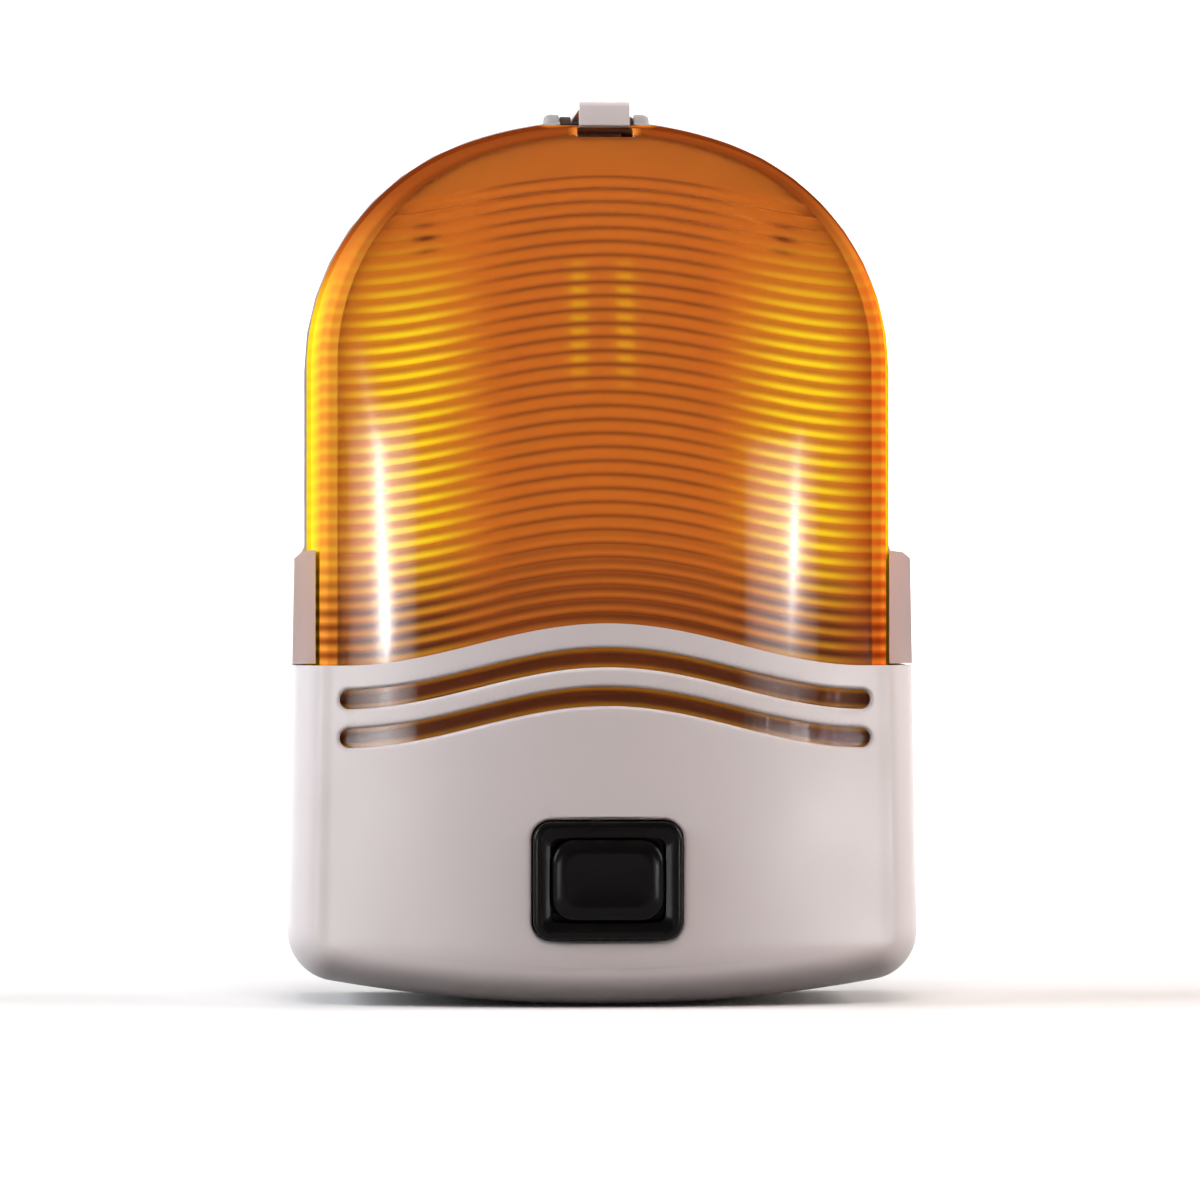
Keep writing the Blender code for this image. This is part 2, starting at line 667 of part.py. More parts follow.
# Latch: clip that swings on a pin between the lugs
def make_latch():
    pivot = joint_empty("latch_pivot", (0.0, -LATCH_PIN[0], LATCH_PIN[1]))
    depth, height = LATCH_PIN
    under = CLIP_TOP - CLIP_THICKNESS
    inside = CLIP_REACH - CLIP_THICKNESS
    corner = 1.2
    profile = [(CLIP_REACH - corner * (1 - math.sin(a)), CLIP_TOP - corner * (1 - math.cos(a)))
               for a in np.linspace(0.0, math.pi / 2, 5)]
    profile += [(CLIP_REACH, CLIP_TIP + 0.5), (CLIP_REACH - 0.5, CLIP_TIP), (inside, CLIP_TIP + 0.3)]
    profile += [(inside, under - 0.5), (inside - 0.5, under), (depth + KNUCKLE_RADIUS + 0.8, under)]
    turns = np.linspace(math.radians(20), math.radians(-250), 13)
    profile += [(depth + KNUCKLE_RADIUS * math.cos(a), height + KNUCKLE_RADIUS * math.sin(a)) for a in turns]
    profile += [(depth + 0.5, CLIP_TOP)]
    half = CLIP_HALF_WIDTH
    rings = [[(x, -d, z) for d, z in profile] for x in (-half, half)]
    clip = add_piece("latch_clip", *loft(rings), SHELL_WHITE, pivot)
    bore = [across_circle(x, LATCH_PIN_RADIUS + GAP) for x in (-half - 1, half + 1)]
    cut(clip, add_piece("clip_bore", *loft(bore), carrier=pivot))
    pin = [across_circle(x, LATCH_PIN_RADIUS) for x in (-PIN_HALF_LENGTH, PIN_HALF_LENGTH)]
    add_piece("latch_pin", *loft(pin), STEEL)


# Switch: bezel in the cover's opening, sprung button, body behind it
def make_switch():
    centre = (0.0, SWITCH_HEIGHT)
    front = COVER_FRONT + BEZEL_PROUD
    well = (PAD_SIZE[0] + 2 * GAP, PAD_SIZE[1] + 2 * GAP)

    def frame_outline(shrink):
        width, height = (size - 2 * shrink for size in BEZEL_SIZE)
        return rounded_rectangle(width, height, BEZEL_CORNER - shrink / 2, centre)

    def well_outline(grow):
        return rounded_rectangle(well[0] + 2 * grow, well[1] + 2 * grow, PAD_CORNER + GAP + grow, centre)

    bezel = forward_loft([(frame_outline(0.0), BEZEL_REAR), (frame_outline(0.0), front - 0.9),
                          (frame_outline(0.3), front - 0.25), (frame_outline(1.0), front),
                          (well_outline(1.6), front),
                          (well_outline(0.0), front - 0.7), (well_outline(0.0), BEZEL_REAR + BEZEL_FLOOR)])
    made = add_piece("switch_bezel", *bezel, SWITCH_BLACK)
    hole_ends = (BEZEL_REAR - 1, BEZEL_REAR + BEZEL_FLOOR + 1)
    stem_hole = turned_forward([(STEM_HOLE_RADIUS, depth) for depth in hole_ends], centre, 20)
    cut(made, add_piece("bezel_stem_hole", *stem_hole))

    press = joint_empty("button_axis", (0.0, -front, SWITCH_HEIGHT))
    pad_front = COVER_FRONT + PAD_PROUD

    def pad_outline(shrink):
        width, height = (size - 2 * shrink for size in PAD_SIZE)
        return rounded_rectangle(width, height, PAD_CORNER - shrink * 0.4, centre)

    pad_rear = BEZEL_REAR + BEZEL_FLOOR + BUTTON_TRAVEL + GAP
    pad = forward_loft([(pad_outline(0.0), pad_rear), (pad_outline(0.0), pad_front - 1.6),
                        (pad_outline(0.25), pad_front - 1.0), (pad_outline(0.9), pad_front - 0.4),
                        (pad_outline(2.2), pad_front - 0.08), (pad_outline(4.0), pad_front)])
    button = add_piece("switch_button", *pad, SWITCH_BLACK, press)
    stem = turned_forward(((STEM_RADIUS, STEM_REAR), (STEM_RADIUS, pad_rear + 1.0)), centre, 16)
    join(button, add_piece("button_stem", *stem, carrier=press))

    body_front = BEZEL_REAR - GAP
    outline = rounded_rectangle(*SWITCH_BODY_SIZE, 1.5, centre, 3)
    block = forward_loft([(outline, SWITCH_BODY_REAR), (outline, body_front)])
    body = add_piece("switch_body", *block, SWITCH_BLACK)
    well_depth = STEM_REAR - BUTTON_TRAVEL - GAP
    body_well = ((BODY_WELL_RADIUS, well_depth), (BODY_WELL_RADIUS, body_front + 1))
    cut(body, add_piece("body_well", *turned_forward(body_well, centre, 20)))
    wide, deep, thick = TERMINAL_SIZE
    for place, x in enumerate((-TERMINAL_X, TERMINAL_X), 1):
        low = (x - wide / 2, SWITCH_BODY_REAR - deep, SWITCH_HEIGHT - thick / 2)
        high = (x + wide / 2, SWITCH_BODY_REAR - GAP, SWITCH_HEIGHT + thick / 2)
        add_piece(f"switch_terminal_{place}", *box(low, high), BRASS)
    make_switch_spring(well_depth + GAP, pad_rear - GAP)


def make_switch_spring(rear, front):
    """Round wire wound in an open helix, from the bottom of the body's well to the button's rear."""
    turns, coil_radius, wire_radius, sides, steps = 4, 3.3, 0.35, 5, 9
    count = turns * steps + 1
    rings = []
    for k in range(count):
        share = k / (count - 1)
        angle = math.tau * turns * share
        depth = rear + wire_radius + (front - rear - 2 * wire_radius) * share
        ring = []
        for s in range(sides):
            lean = math.tau * s / sides
            radius = coil_radius + wire_radius * math.cos(lean)
            ring.append((radius * math.cos(angle), -depth - wire_radius * math.sin(lean),
                         SWITCH_HEIGHT + radius * math.sin(angle)))
        rings.append(ring)
    add_piece("switch_spring", *loft(rings), STEEL)


# Lamp, reflector, board and batteries
def make_lamp():
    centre = (0.0, LAMP_DEPTH)
    foot = BOARD_HEIGHT + BOARD_THICKNESS + GAP
    column = ((POST_FOOT_RADIUS, foot), (POST_FOOT_RADIUS, foot + 3.0), (POST_RADIUS, foot + 5.0),
              (POST_RADIUS, POST_TOP))
    post = add_piece("lamp_post", *turned_upright(column, centre, 20), REFLECTOR_WHITE)
    socket = ((BULB_BASE_RADIUS + GAP, POST_TOP - SOCKET_DEPTH), (BULB_BASE_RADIUS + GAP, POST_TOP + 1))
    cut(post, add_piece("bulb_socket", *turned_upright(socket, centre)))
    seat = POST_TOP - SOCKET_DEPTH + GAP
    rim = POST_TOP + BULB_BASE_PROUD
    cap = ((1.5, seat), (3.0, seat + 1.2), (BULB_BASE_RADIUS, seat + 2.4), (BULB_BASE_RADIUS, rim))
    add_piece("bulb_base", *turned_upright(cap, centre), BRASS)
    neck = rim + GAP
    profile = [(BULB_NECK_RADIUS, neck), (BULB_RADIUS, neck + 5.0), (BULB_RADIUS, BULB_TOP - BULB_RADIUS)]
    for k in range(1, 6):
        angle = math.radians(15 * k)
        profile.append((BULB_RADIUS * math.cos(angle), BULB_TOP - BULB_RADIUS * (1 - math.sin(angle))))
    add_piece("bulb_glass", *turned_upright(profile, centre, 18), CLEAR)


def make_reflector():
    """Arched plate with a raised edge; its middle is dished behind the lamp."""
    def outline(inset, floor):
        right = [arch_at_angle(inset, a) for a in reversed(arch_angles())]
        right.append((ARCH_HALF_WIDTH - inset, floor))
        return right + [(-x, z) for x, z in reversed(right[1:])]
    low = BOARD_HEIGHT + 4.0
    rings = [(outline(REFLECTOR_INSET, low), REFLECTOR_DEPTH),
             (outline(REFLECTOR_INSET, low), REFLECTOR_DEPTH + REFLECTOR_EDGE),
             (outline(REFLECTOR_INSET + 1.2, low + 1.2), REFLECTOR_DEPTH + REFLECTOR_EDGE),
             (outline(REFLECTOR_INSET + 2.0, low + 2.0), REFLECTOR_DEPTH + REFLECTOR_FLOOR)]
    plate = add_piece("reflector", *forward_loft(rings), REFLECTOR_WHITE)
    for place, (x, z) in enumerate(REFLECTOR_SCREWS, 1):
        shank = SCREW_RADIUS + GAP
        hole = turned_forward(((shank, REFLECTOR_DEPTH - 1), (shank, REFLECTOR_DEPTH + 4)), (x, z), 12)
        cut(plate, add_piece(f"reflector_hole_{place}", *hole))
        head = REFLECTOR_DEPTH + REFLECTOR_FLOOR + GAP
        screw = ((SCREW_RADIUS, REFLECTOR_PILOT_REAR + 2.0), (SCREW_RADIUS, head), (SCREW_HEAD_RADIUS, head),
                 (SCREW_HEAD_RADIUS, head + 1.0), (SCREW_HEAD_RADIUS * 0.6, head + 1.8))
        add_piece(f"reflector_screw_{place}", *turned_forward(screw, (x, z), 10), STEEL)


def make_board():
    top = BOARD_HEIGHT + BOARD_THICKNESS
    outline = rounded_rectangle(*BOARD_SIZE, 3.0, (0.0, BOARD_DEPTH), 3)
    board = add_piece("circuit_board", *upright_loft([(outline, BOARD_HEIGHT), (outline, top)]), BOARD_GREEN)
    for place, x in enumerate((-CELL_PITCH, CELL_PITCH), 1):
        shank = SCREW_RADIUS + GAP
        hole = turned_upright(((shank, BOARD_HEIGHT - 1), (shank, top + 1)), (x, BOARD_SCREW_DEPTH), 12)
        cut(board, add_piece(f"board_hole_{place}", *hole))
        head = top + GAP
        screw = ((SCREW_RADIUS, BOARD_HEIGHT - 6.0), (SCREW_RADIUS, head), (SCREW_HEAD_RADIUS, head),
                 (SCREW_HEAD_RADIUS * 0.8, top + 2.0))
        add_piece(f"board_screw_{place}", *turned_upright(screw, (x, BOARD_SCREW_DEPTH), 10), STEEL)
    add_piece("flasher_chip", *box((-34.0, 34.0, top + GAP), (-24.4, 40.4, top + 3.6)), CHIP_BLACK)
    add_piece("drive_transistor", *box((22.0, 34.0, top + GAP), (32.0, 38.5, top + 14.0)), CHIP_BLACK)
    can = ((5.0, top + GAP), (5.0, top + 1.8), (4.6, top + 2.4), (5.0, top + 3.0), (5.0, top + 15.4),
           (4.4, top + 16.0))
    add_piece("timing_capacitor", *turned_upright(can, (-44.0, 38.0), 14), CELL_JACKET)


def make_batteries():
    places = [CELL_PITCH * (k - 1.5) for k in range(4)]
    top = CELL_BOTTOM + CELL_LENGTH
    for number, x in enumerate(places, 1):
        up = number % 2 == 1
        profile = [(CELL_RADIUS - 1.0, 0.0), (CELL_RADIUS, 0.8), (CELL_RADIUS, CELL_LENGTH - 2.6),
                   (CELL_RADIUS - 1.0, CELL_LENGTH - 1.8), (3.3, CELL_LENGTH - 1.8), (3.0, CELL_LENGTH)]
        if not up:
            profile = [(r, CELL_LENGTH - z) for r, z in reversed(profile)]
        raised = [(r, CELL_BOTTOM + z) for r, z in profile]
        add_piece(f"cell_{number}", *turned_upright(raised, (x, CELL_DEPTH), 18), CELL_JACKET)
    pocket = CELL_RADIUS + GAP
    half = 2 * CELL_PITCH
    outline = [(half, BASE_WALL + GAP), (half, CELL_DEPTH)]
    for x in reversed(places):
        outline += [(x + pocket * math.cos(a), CELL_DEPTH - pocket * math.sin(a))
                    for a in np.linspace(0.0, math.pi, 13)]
    outline += [(-half, CELL_DEPTH), (-half, BASE_WALL + GAP)]
    foot = CELL_BOTTOM - 1.9
    body = upright_loft([(outline, foot), (outline, BOARD_HEIGHT - GAP)])
    cradle = add_piece("battery_cradle", *body, CRADLE_GREY)
    floor_top = foot + 0.2
    low = (-half, BASE_WALL + 2.0, foot - CRADLE_FLOOR)
    join(cradle, add_piece("cradle_floor", *box(low, (half, CELL_DEPTH + CELL_RADIUS + 1.0, floor_top))))
    shank = SCREW_RADIUS + GAP
    for place, x in enumerate((-CELL_PITCH, CELL_PITCH), 1):
        pilot = ((shank, BOARD_HEIGHT - 8.0), (shank, BOARD_HEIGHT + 1))
        cut(cradle, add_piece(f"cradle_pilot_{place}", *turned_upright(pilot, (x, BOARD_SCREW_DEPTH), 12)))
    make_contact("contact_bottom_left", places[0], places[1], floor_top + GAP)
    make_contact("contact_bottom_right", places[2], places[3], floor_top + GAP)
    make_contact("contact_top_left", places[0], places[0], top + GAP)
    make_contact("contact_top_middle", places[1], places[2], top + GAP)
    make_contact("contact_top_right", places[3], places[3], top + GAP)


def make_contact(name, start, end, height):
    """Flat strip that reaches past the middles of the cells it joins."""
    reach, wide, thick = CONTACT_SIZE
    strip = rounded_rectangle(end - start + reach, wide, 1.5, ((start + end) / 2, CELL_DEPTH + 5.0), 3)
    add_piece(name, *upright_loft([(strip, height), (strip, height + thick)]), BRASS)


def make_fasteners():
    for place, (x, z) in enumerate(SCREW_PLACES, 1):
        profile = ((SCREW_HEAD_RADIUS * 0.8, 0.5), (SCREW_HEAD_RADIUS, 1.0), (SCREW_HEAD_RADIUS, 2.5),
                   (SCREW_RADIUS, 2.5), (SCREW_RADIUS, SCREW_TIP), (0.5, SCREW_TIP + 1.5))
        add_piece(f"cover_screw_{place}", *turned_forward(profile, (x, z), 10), STEEL)
    centre = (0.0, NUT_HEIGHT)
    hexagon = circle(NUT_ACROSS_FLATS / 2 / math.cos(math.pi / 6), centre, 6)
    rear = NUT_REAR + GAP
    nut = add_piece("mounting_nut", *forward_loft([(hexagon, rear), (hexagon, rear + NUT_THICKNESS)]), STEEL)
    cut(nut, add_piece("nut_bore", *turned_forward(
        ((NUT_BORE_RADIUS, rear - 1), (NUT_BORE_RADIUS, rear + NUT_THICKNESS + 1)), centre, 24)))


make_base()
make_front_cover()
make_gasket()
make_lens(joint_empty("lens_guide", (0.0, -FLANGE_REAR, SHOULDER_HEIGHT)))
make_latch()
make_switch()
make_lamp()
make_reflector()
make_board()
make_batteries()
make_fasteners()
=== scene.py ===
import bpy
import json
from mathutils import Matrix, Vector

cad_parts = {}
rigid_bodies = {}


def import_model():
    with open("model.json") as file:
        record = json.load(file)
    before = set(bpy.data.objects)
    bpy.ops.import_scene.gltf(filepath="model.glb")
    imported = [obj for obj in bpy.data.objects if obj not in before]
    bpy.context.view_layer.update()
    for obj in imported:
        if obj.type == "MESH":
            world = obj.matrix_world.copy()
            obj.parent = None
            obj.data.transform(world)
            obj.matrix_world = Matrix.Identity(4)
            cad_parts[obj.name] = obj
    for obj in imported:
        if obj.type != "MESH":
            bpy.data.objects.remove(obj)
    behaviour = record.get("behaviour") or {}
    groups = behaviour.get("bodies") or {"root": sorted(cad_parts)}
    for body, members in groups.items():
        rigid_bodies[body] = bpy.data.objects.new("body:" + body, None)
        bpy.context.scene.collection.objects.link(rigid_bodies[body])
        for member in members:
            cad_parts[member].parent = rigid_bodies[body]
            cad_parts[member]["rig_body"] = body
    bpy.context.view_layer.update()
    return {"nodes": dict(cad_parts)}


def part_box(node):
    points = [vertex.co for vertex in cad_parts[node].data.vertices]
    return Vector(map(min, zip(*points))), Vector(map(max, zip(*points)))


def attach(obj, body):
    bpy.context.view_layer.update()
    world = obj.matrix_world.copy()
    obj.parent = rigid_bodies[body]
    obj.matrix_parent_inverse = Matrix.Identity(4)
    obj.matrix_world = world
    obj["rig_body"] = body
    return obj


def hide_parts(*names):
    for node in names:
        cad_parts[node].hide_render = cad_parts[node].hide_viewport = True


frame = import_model()

import json
import math

import bmesh
import bpy
import numpy as np

# Units: lengths below are millimetres, heights are from the lowest point of the housing
MM = 0.001
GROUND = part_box("front_cover")[0].z

# Arch of the lens and base
ARCH_HALF_WIDTH = 64.6
ARCH_SPRING = 138.0
ARCH_TOP = 193.0
CROWN_RADIUS = 88.0
HAUNCH_RADIUS = ((CROWN_RADIUS ** 2 - ARCH_HALF_WIDTH ** 2 - (ARCH_SPRING - ARCH_TOP + CROWN_RADIUS) ** 2)
                 / (2 * (CROWN_RADIUS - ARCH_HALF_WIDTH)))
HAUNCH_X = ARCH_HALF_WIDTH - HAUNCH_RADIUS
CROWN_Z = ARCH_TOP - CROWN_RADIUS
HAUNCH_ANGLE = math.atan2(ARCH_SPRING - CROWN_Z, HAUNCH_X)

# Lower housing
BODY_HALF_WIDTH = 68.4
SHOULDER_HALF_WIDTH = 66.9
SHOULDER_HEIGHT = 97.0
CORNER_RADIUS = 11.0
BOTTOM_RADIUS = 370.0
CORNER_X = BODY_HALF_WIDTH - CORNER_RADIUS
CORNER_Z = BOTTOM_RADIUS - math.sqrt((BOTTOM_RADIUS - CORNER_RADIUS) ** 2 - CORNER_X ** 2)
CORNER_ANGLE = math.asin(CORNER_X / (BOTTOM_RADIUS - CORNER_RADIUS))
COVER_FRONT = 64.5
COVER_WALL = 2.4
COVER_ROUND = (8.0, 12.0)
COVER_REAR = 20.8
CHIN_HEIGHT = 14.0
CHIN_RADIUS = 30.0
PLAN_RADIUS = 210.0

# Wave of the cover edge, slots and ribs
WAVE_RISE = 9.1
WAVE_HALF_LENGTH = 56.6
COVER_EDGE = 73.0
SLOT_HEIGHTS = (65.7, 57.4)
SLOT_WIDTH = 4.2
SLOT_HALF_LENGTH = 57.2

# Lens
LENS_FRONT = 61.5
LENS_WALL = 1.5
LENS_ROUND = (1.8, 4.0)
LENS_DRAFT = 2.0
FLANGE_GAP = 0.5
FLANGE_WIDTH = 1.0
FLANGE_REAR = 22.3
FLANGE_THICKNESS = 1.8
FLANGE_NOTCH = 12.0
CATCH_LOW = (-6.0, 48.0, 187.0)
CATCH_HIGH = (6.0, 60.0, 196.0)
HOOD_INSET = FLANGE_GAP + FLANGE_WIDTH
LENS_EDGE = HOOD_INSET + LENS_DRAFT + LENS_ROUND[0]
RIB_PITCH = 2.95
RIB_COUNT = 40
RIB_DEPTH = 0.7
FIRST_RIB = 179.0
TOP_RIB_RISE = 6.5
LEAN_START = 120.0
LEAN_RADIUS = 260.0
ROUND_STEPS = 9
AMBER_INDEX = 1.49
# Painted glints of the bulb, x of each column, and painted dark dashes where the reflector's screws show
# through, (x, height)
PAINTED_BULB_GLINTS = (-5.9, 4.1)
PAINTED_SCREW_DASHES = (38.6, 165.0)

# Switch
SWITCH_HEIGHT = 27.1
BEZEL_SIZE = (32.0, 25.2)
BEZEL_CORNER = 3.9
BEZEL_FRONT = 66.5
BEZEL_REAR = 57.0
PAD_SIZE = (24.0, 17.4)
PAD_CORNER = 4.8
PAD_FRONT = 67.6
PAD_REAR = 61.8
STEM_RADIUS = 2.0
STEM_REAR = 53.0
STEM_HOLE_RADIUS = 5.0
SWITCH_GAP = 0.3

# Photograph's view
PIXEL = 0.2177
PHOTO_WIDTH = 1200
VIEW_AZIMUTH = math.radians(-3.0)
VIEW_DISTANCE = 1400.0
VIEW_CENTRE = (-0.4, -40.0, 87.1)


def place(points):
    """Millimetre points with heights from the ground to metres in the frame."""
    moved = np.asarray(points, float) * MM
    moved[..., 2] += GROUND
    return moved


# Mesh helpers: degrees between faces above which an edge is sharp, and metres for welding points
SMOOTH_ANGLE = 35.0
WELD = 1e-7


def grid_quads(rows, columns, start=0, flip=False, wrap=False):
    """Quads of a grid whose points run along the columns first."""
    across = columns if wrap else columns - 1
    r, c = np.meshgrid(np.arange(rows - 1), np.arange(across), indexing="ij")
    after = (c + 1) % columns
    near, far = r * columns, (r + 1) * columns
    quads = np.stack([near + c, near + after, far + after, far + c], -1).reshape(-1, 4) + start
    return quads[:, ::-1] if flip else quads


def build(name, points, faces, finishes, face_slots=None, values=None, smooth=SMOOTH_ANGLE):
    """Mesh object from metre points; values are named numbers kept on the points."""
    mesh = bpy.data.meshes.new(name)
    mesh.from_pydata(points.tolist(), [], faces)
    for key, numbers in (values or {}).items():
        layer = mesh.attributes.new(key, 'FLOAT', 'POINT')
        layer.data.foreach_set("value", np.asarray(numbers, np.float32).ravel())
    if face_slots is not None:
        mesh.polygons.foreach_set("material_index", np.asarray(face_slots, np.int32))
    bm = bmesh.new()
    bm.from_mesh(mesh)
    bmesh.ops.remove_doubles(bm, verts=bm.verts, dist=WELD)
    bmesh.ops.dissolve_degenerate(bm, edges=bm.edges, dist=WELD)
    bmesh.ops.recalc_face_normals(bm, faces=bm.faces)
    bm.to_mesh(mesh)
    bm.free()
    mesh.shade_smooth()
    mesh.set_sharp_from_angle(angle=math.radians(smooth))
    for finish in finishes:
        mesh.materials.append(finish)
    piece = bpy.data.objects.new(name, mesh)
    bpy.context.scene.collection.objects.link(piece)
    return piece


def ringed(rings):
    """Points and faces of a stack of equal rings, shaped (rings, points, 3), with flat ends."""
    levels, count, _ = rings.shape
    faces = grid_quads(levels, count, wrap=True).tolist()
    faces.append(list(range(count))[::-1])
    faces.append(list(range((levels - 1) * count, levels * count)))
    return rings.reshape(-1, 3), faces


def apply_modifiers(piece):
    """Turn a piece's modifiers into its mesh."""
    bpy.context.view_layer.update()
    graph = bpy.context.evaluated_depsgraph_get()
    mesh = bpy.data.meshes.new_from_object(piece.evaluated_get(graph))
    piece.modifiers.clear()
    piece.data = mesh


def cut_away(piece, cutters):
    """Cut a piece with each cutter, then drop the cutters; one with a finish leaves it on the cut."""
    for cutter in cutters:
        step = piece.modifiers.new(cutter.name, 'BOOLEAN')
        step.operation = 'DIFFERENCE'
        step.object = cutter
        if cutter.data.materials:
            step.material_mode = 'TRANSFER'
    apply_modifiers(piece)
    for cutter in cutters:
        bpy.data.objects.remove(cutter, do_unlink=True)


def box_cutter(name, low, high, finish):
    """Box between two (x, depth, height) corners, which leaves its finish on the cut."""
    x = np.array([low[0], high[0], high[0], low[0]])
    y = -np.array([low[1], low[1], high[1], high[1]])
    rings = np.array([np.stack([x, y, np.full(4, height)], -1) for height in (low[2], high[2])])
    points, faces = ringed(place(rings))
    return build(name, points, faces, [finish])


def bevel(piece, width):
    """Narrow rounding, in millimetres, on sharp edges."""
    step = piece.modifiers.new("soft_edge", 'BEVEL')
    step.width = width * MM
    step.segments = 3
    step.limit_method = 'ANGLE'
    step.angle_limit = math.radians(SMOOTH_ANGLE)
    step.harden_normals = True


def settle(piece, body, slot, *nodes):
    """The piece rides on a body and stands for its CAD nodes; slot is not used."""
    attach(piece, body)
    if nodes:
        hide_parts(*nodes)


# Shape formulas
def wave(x):
    """Cosine bell, one in the middle and flat beyond its half length."""
    return 0.5 + 0.5 * np.cos(np.pi * np.minimum(np.abs(x) / WAVE_HALF_LENGTH, 1.0))


def cover_front(x, z):
    """Depth of the cover: a circle in plan, turned under at the chin."""
    chin = np.maximum(CHIN_HEIGHT - z, 0.0)
    return COVER_FRONT - x * x / (2 * PLAN_RADIUS) - chin * chin / (2 * CHIN_RADIUS)


def lens_front(x, z):
    """Depth of the lens: the same circle in plan, leaning back in a wide curve above its lean line."""
    lean = np.maximum(z - LEAN_START, 0.0)
    return LENS_FRONT - x * x / (2 * PLAN_RADIUS) - lean * lean / (2 * LEAN_RADIUS)


def arch_point(inset, angle):
    """Right half of the arch from its normal's angle: haunch arc first, then the crown arc."""
    haunch = angle < HAUNCH_ANGLE
    radius = np.where(haunch, HAUNCH_RADIUS, CROWN_RADIUS) - inset
    x = np.where(haunch, HAUNCH_X, 0.0) + radius * np.cos(angle)
    z = np.where(haunch, ARCH_SPRING, CROWN_Z) + radius * np.sin(angle)
    return x, z


def arch_angle(inset, height):
    """Angle of the arch's normal at a height, zero below the spring line."""
    rise = (height - ARCH_SPRING) / (HAUNCH_RADIUS - inset)
    crown = (height - CROWN_Z) / (CROWN_RADIUS - inset)
    sine = np.where(rise < math.sin(HAUNCH_ANGLE), rise, crown)
    return np.where(height <= ARCH_SPRING, 0.0, np.arcsin(np.clip(sine, 0, 1)))


def hood_skin(edge, rise, front, rim, rounding, columns, relief=0.0, round_steps=ROUND_STEPS):
    """Rows of a hood's skin, shaped (rows, points, 3).

    Each row starts at the left rim, turns a quarter ellipse at the corner, crosses the front along the wave
    and ends at the right rim. edge holds the rows' (x, z, normal angle); rim lists (outward step, depth).
    """
    x0, z0, angle = (np.asarray(v, float)[:, None] for v in edge)
    turn = np.linspace(0.0, np.pi / 2, round_steps)[None, :]
    rim = np.array(rim)
    steps = np.concatenate([np.repeat(rim[None, :, 0], len(x0), 0),
                            np.repeat(rounding[0] * np.cos(turn), len(x0), 0)], 1)
    x = x0 + steps * np.cos(angle)
    z = z0 + steps * np.sin(angle)
    depth = np.concatenate([np.repeat(rim[None, :, 1], len(x0), 0),
                            front(x0, z0) - rounding[1] * (1.0 - np.sin(turn))], 1)
    share = np.linspace(-1.0, 1.0, columns + 1)[None, 1:-1]
    xm = x0 * share
    zm = z0 + np.asarray(rise)[:, None] * (wave(xm) - wave(x0))
    dm = front(xm, zm) - relief
    left = np.stack([-x, -depth, z], -1)
    right = np.stack([x, -depth, z], -1)[:, ::-1]
    return np.concatenate([left, np.stack([xm, -dm, zm], -1), right], 1)


def hood_solid(outer, inner):
    """Points, faces and skin numbers (0 outer, 1 inner, 2 edges) of a hood between two equal skins."""
    rows, count, _ = outer.shape
    points = np.concatenate([outer.reshape(-1, 3), inner.reshape(-1, 3)])
    shift = rows * count
    out = grid_quads(rows, count)
    inside = grid_quads(rows, count, shift, flip=True)
    up = np.arange(rows - 1) * count
    ends = (up, up + count, up + count + shift, up + shift)
    rims = [np.stack([end + k for end in ends], -1) for k in (0, count - 1)]
    along = np.arange(count - 1)
    lip = np.stack([along, along + 1, along + 1 + shift, along + shift], -1)
    edges = np.concatenate(rims + [lip])
    faces = np.concatenate([out, inside, edges])
    skins = np.repeat([0, 1, 2], [len(out), len(inside), len(edges)])
    return points, faces.tolist(), skins


# Materials
def shader_of(name, colour=None, roughness=None, metallic=0.0):
    """New material with its Principled shader."""
    finish = bpy.data.materials.new(name)
    finish.use_nodes = True
    shader = finish.node_tree.nodes["Principled BSDF"]
    shader.inputs["Metallic"].default_value = metallic
    if colour is not None:
        shader.inputs["Base Color"].default_value = (*colour, 1.0)
    if roughness is not None:
        shader.inputs["Roughness"].default_value = roughness
    return finish, finish.node_tree, shader


def add_node(tree, kind, **settings):
    """New node with its settings."""
    node = tree.nodes.new(kind)
    for key, value in settings.items():
        setattr(node, key, value)
    return node


def mixed(tree, amount, first, second):
    """Mix of two colours, each a tuple or a socket."""
    node = add_node(tree, "ShaderNodeMix", data_type='RGBA')
    for socket, value in ((node.inputs[0], amount), (node.inputs[6], first), (node.inputs[7], second)):
        if isinstance(value, bpy.types.NodeSocket):
            tree.links.new(value, socket)
        elif isinstance(value, tuple):
            socket.default_value = (*value, 1.0)
        else:
            socket.default_value = value
    return node.outputs[2]


def scaled(tree, value, low, high, start=0.0, end=1.0):
    """Value mapped from a start to end span to a low to high span, clamped."""
    node = add_node(tree, "ShaderNodeMapRange")
    node.inputs["From Min"].default_value = start
    node.inputs["From Max"].default_value = end
    node.inputs["To Min"].default_value = low
    node.inputs["To Max"].default_value = high
    tree.links.new(value, node.inputs["Value"])
    return node.outputs["Result"]


def new_group(name, inputs, outputs):
    """Empty shader node group with named number sockets."""
    group = bpy.data.node_groups.new(name, "ShaderNodeTree")
    for key, value in inputs.items():
        socket = group.interface.new_socket(key, in_out='INPUT', socket_type='NodeSocketFloat')
        socket.default_value = value
    for key in outputs:
        group.interface.new_socket(key, in_out='OUTPUT', socket_type='NodeSocketFloat')
    return group, group.nodes.new("NodeGroupInput"), group.nodes.new("NodeGroupOutput")


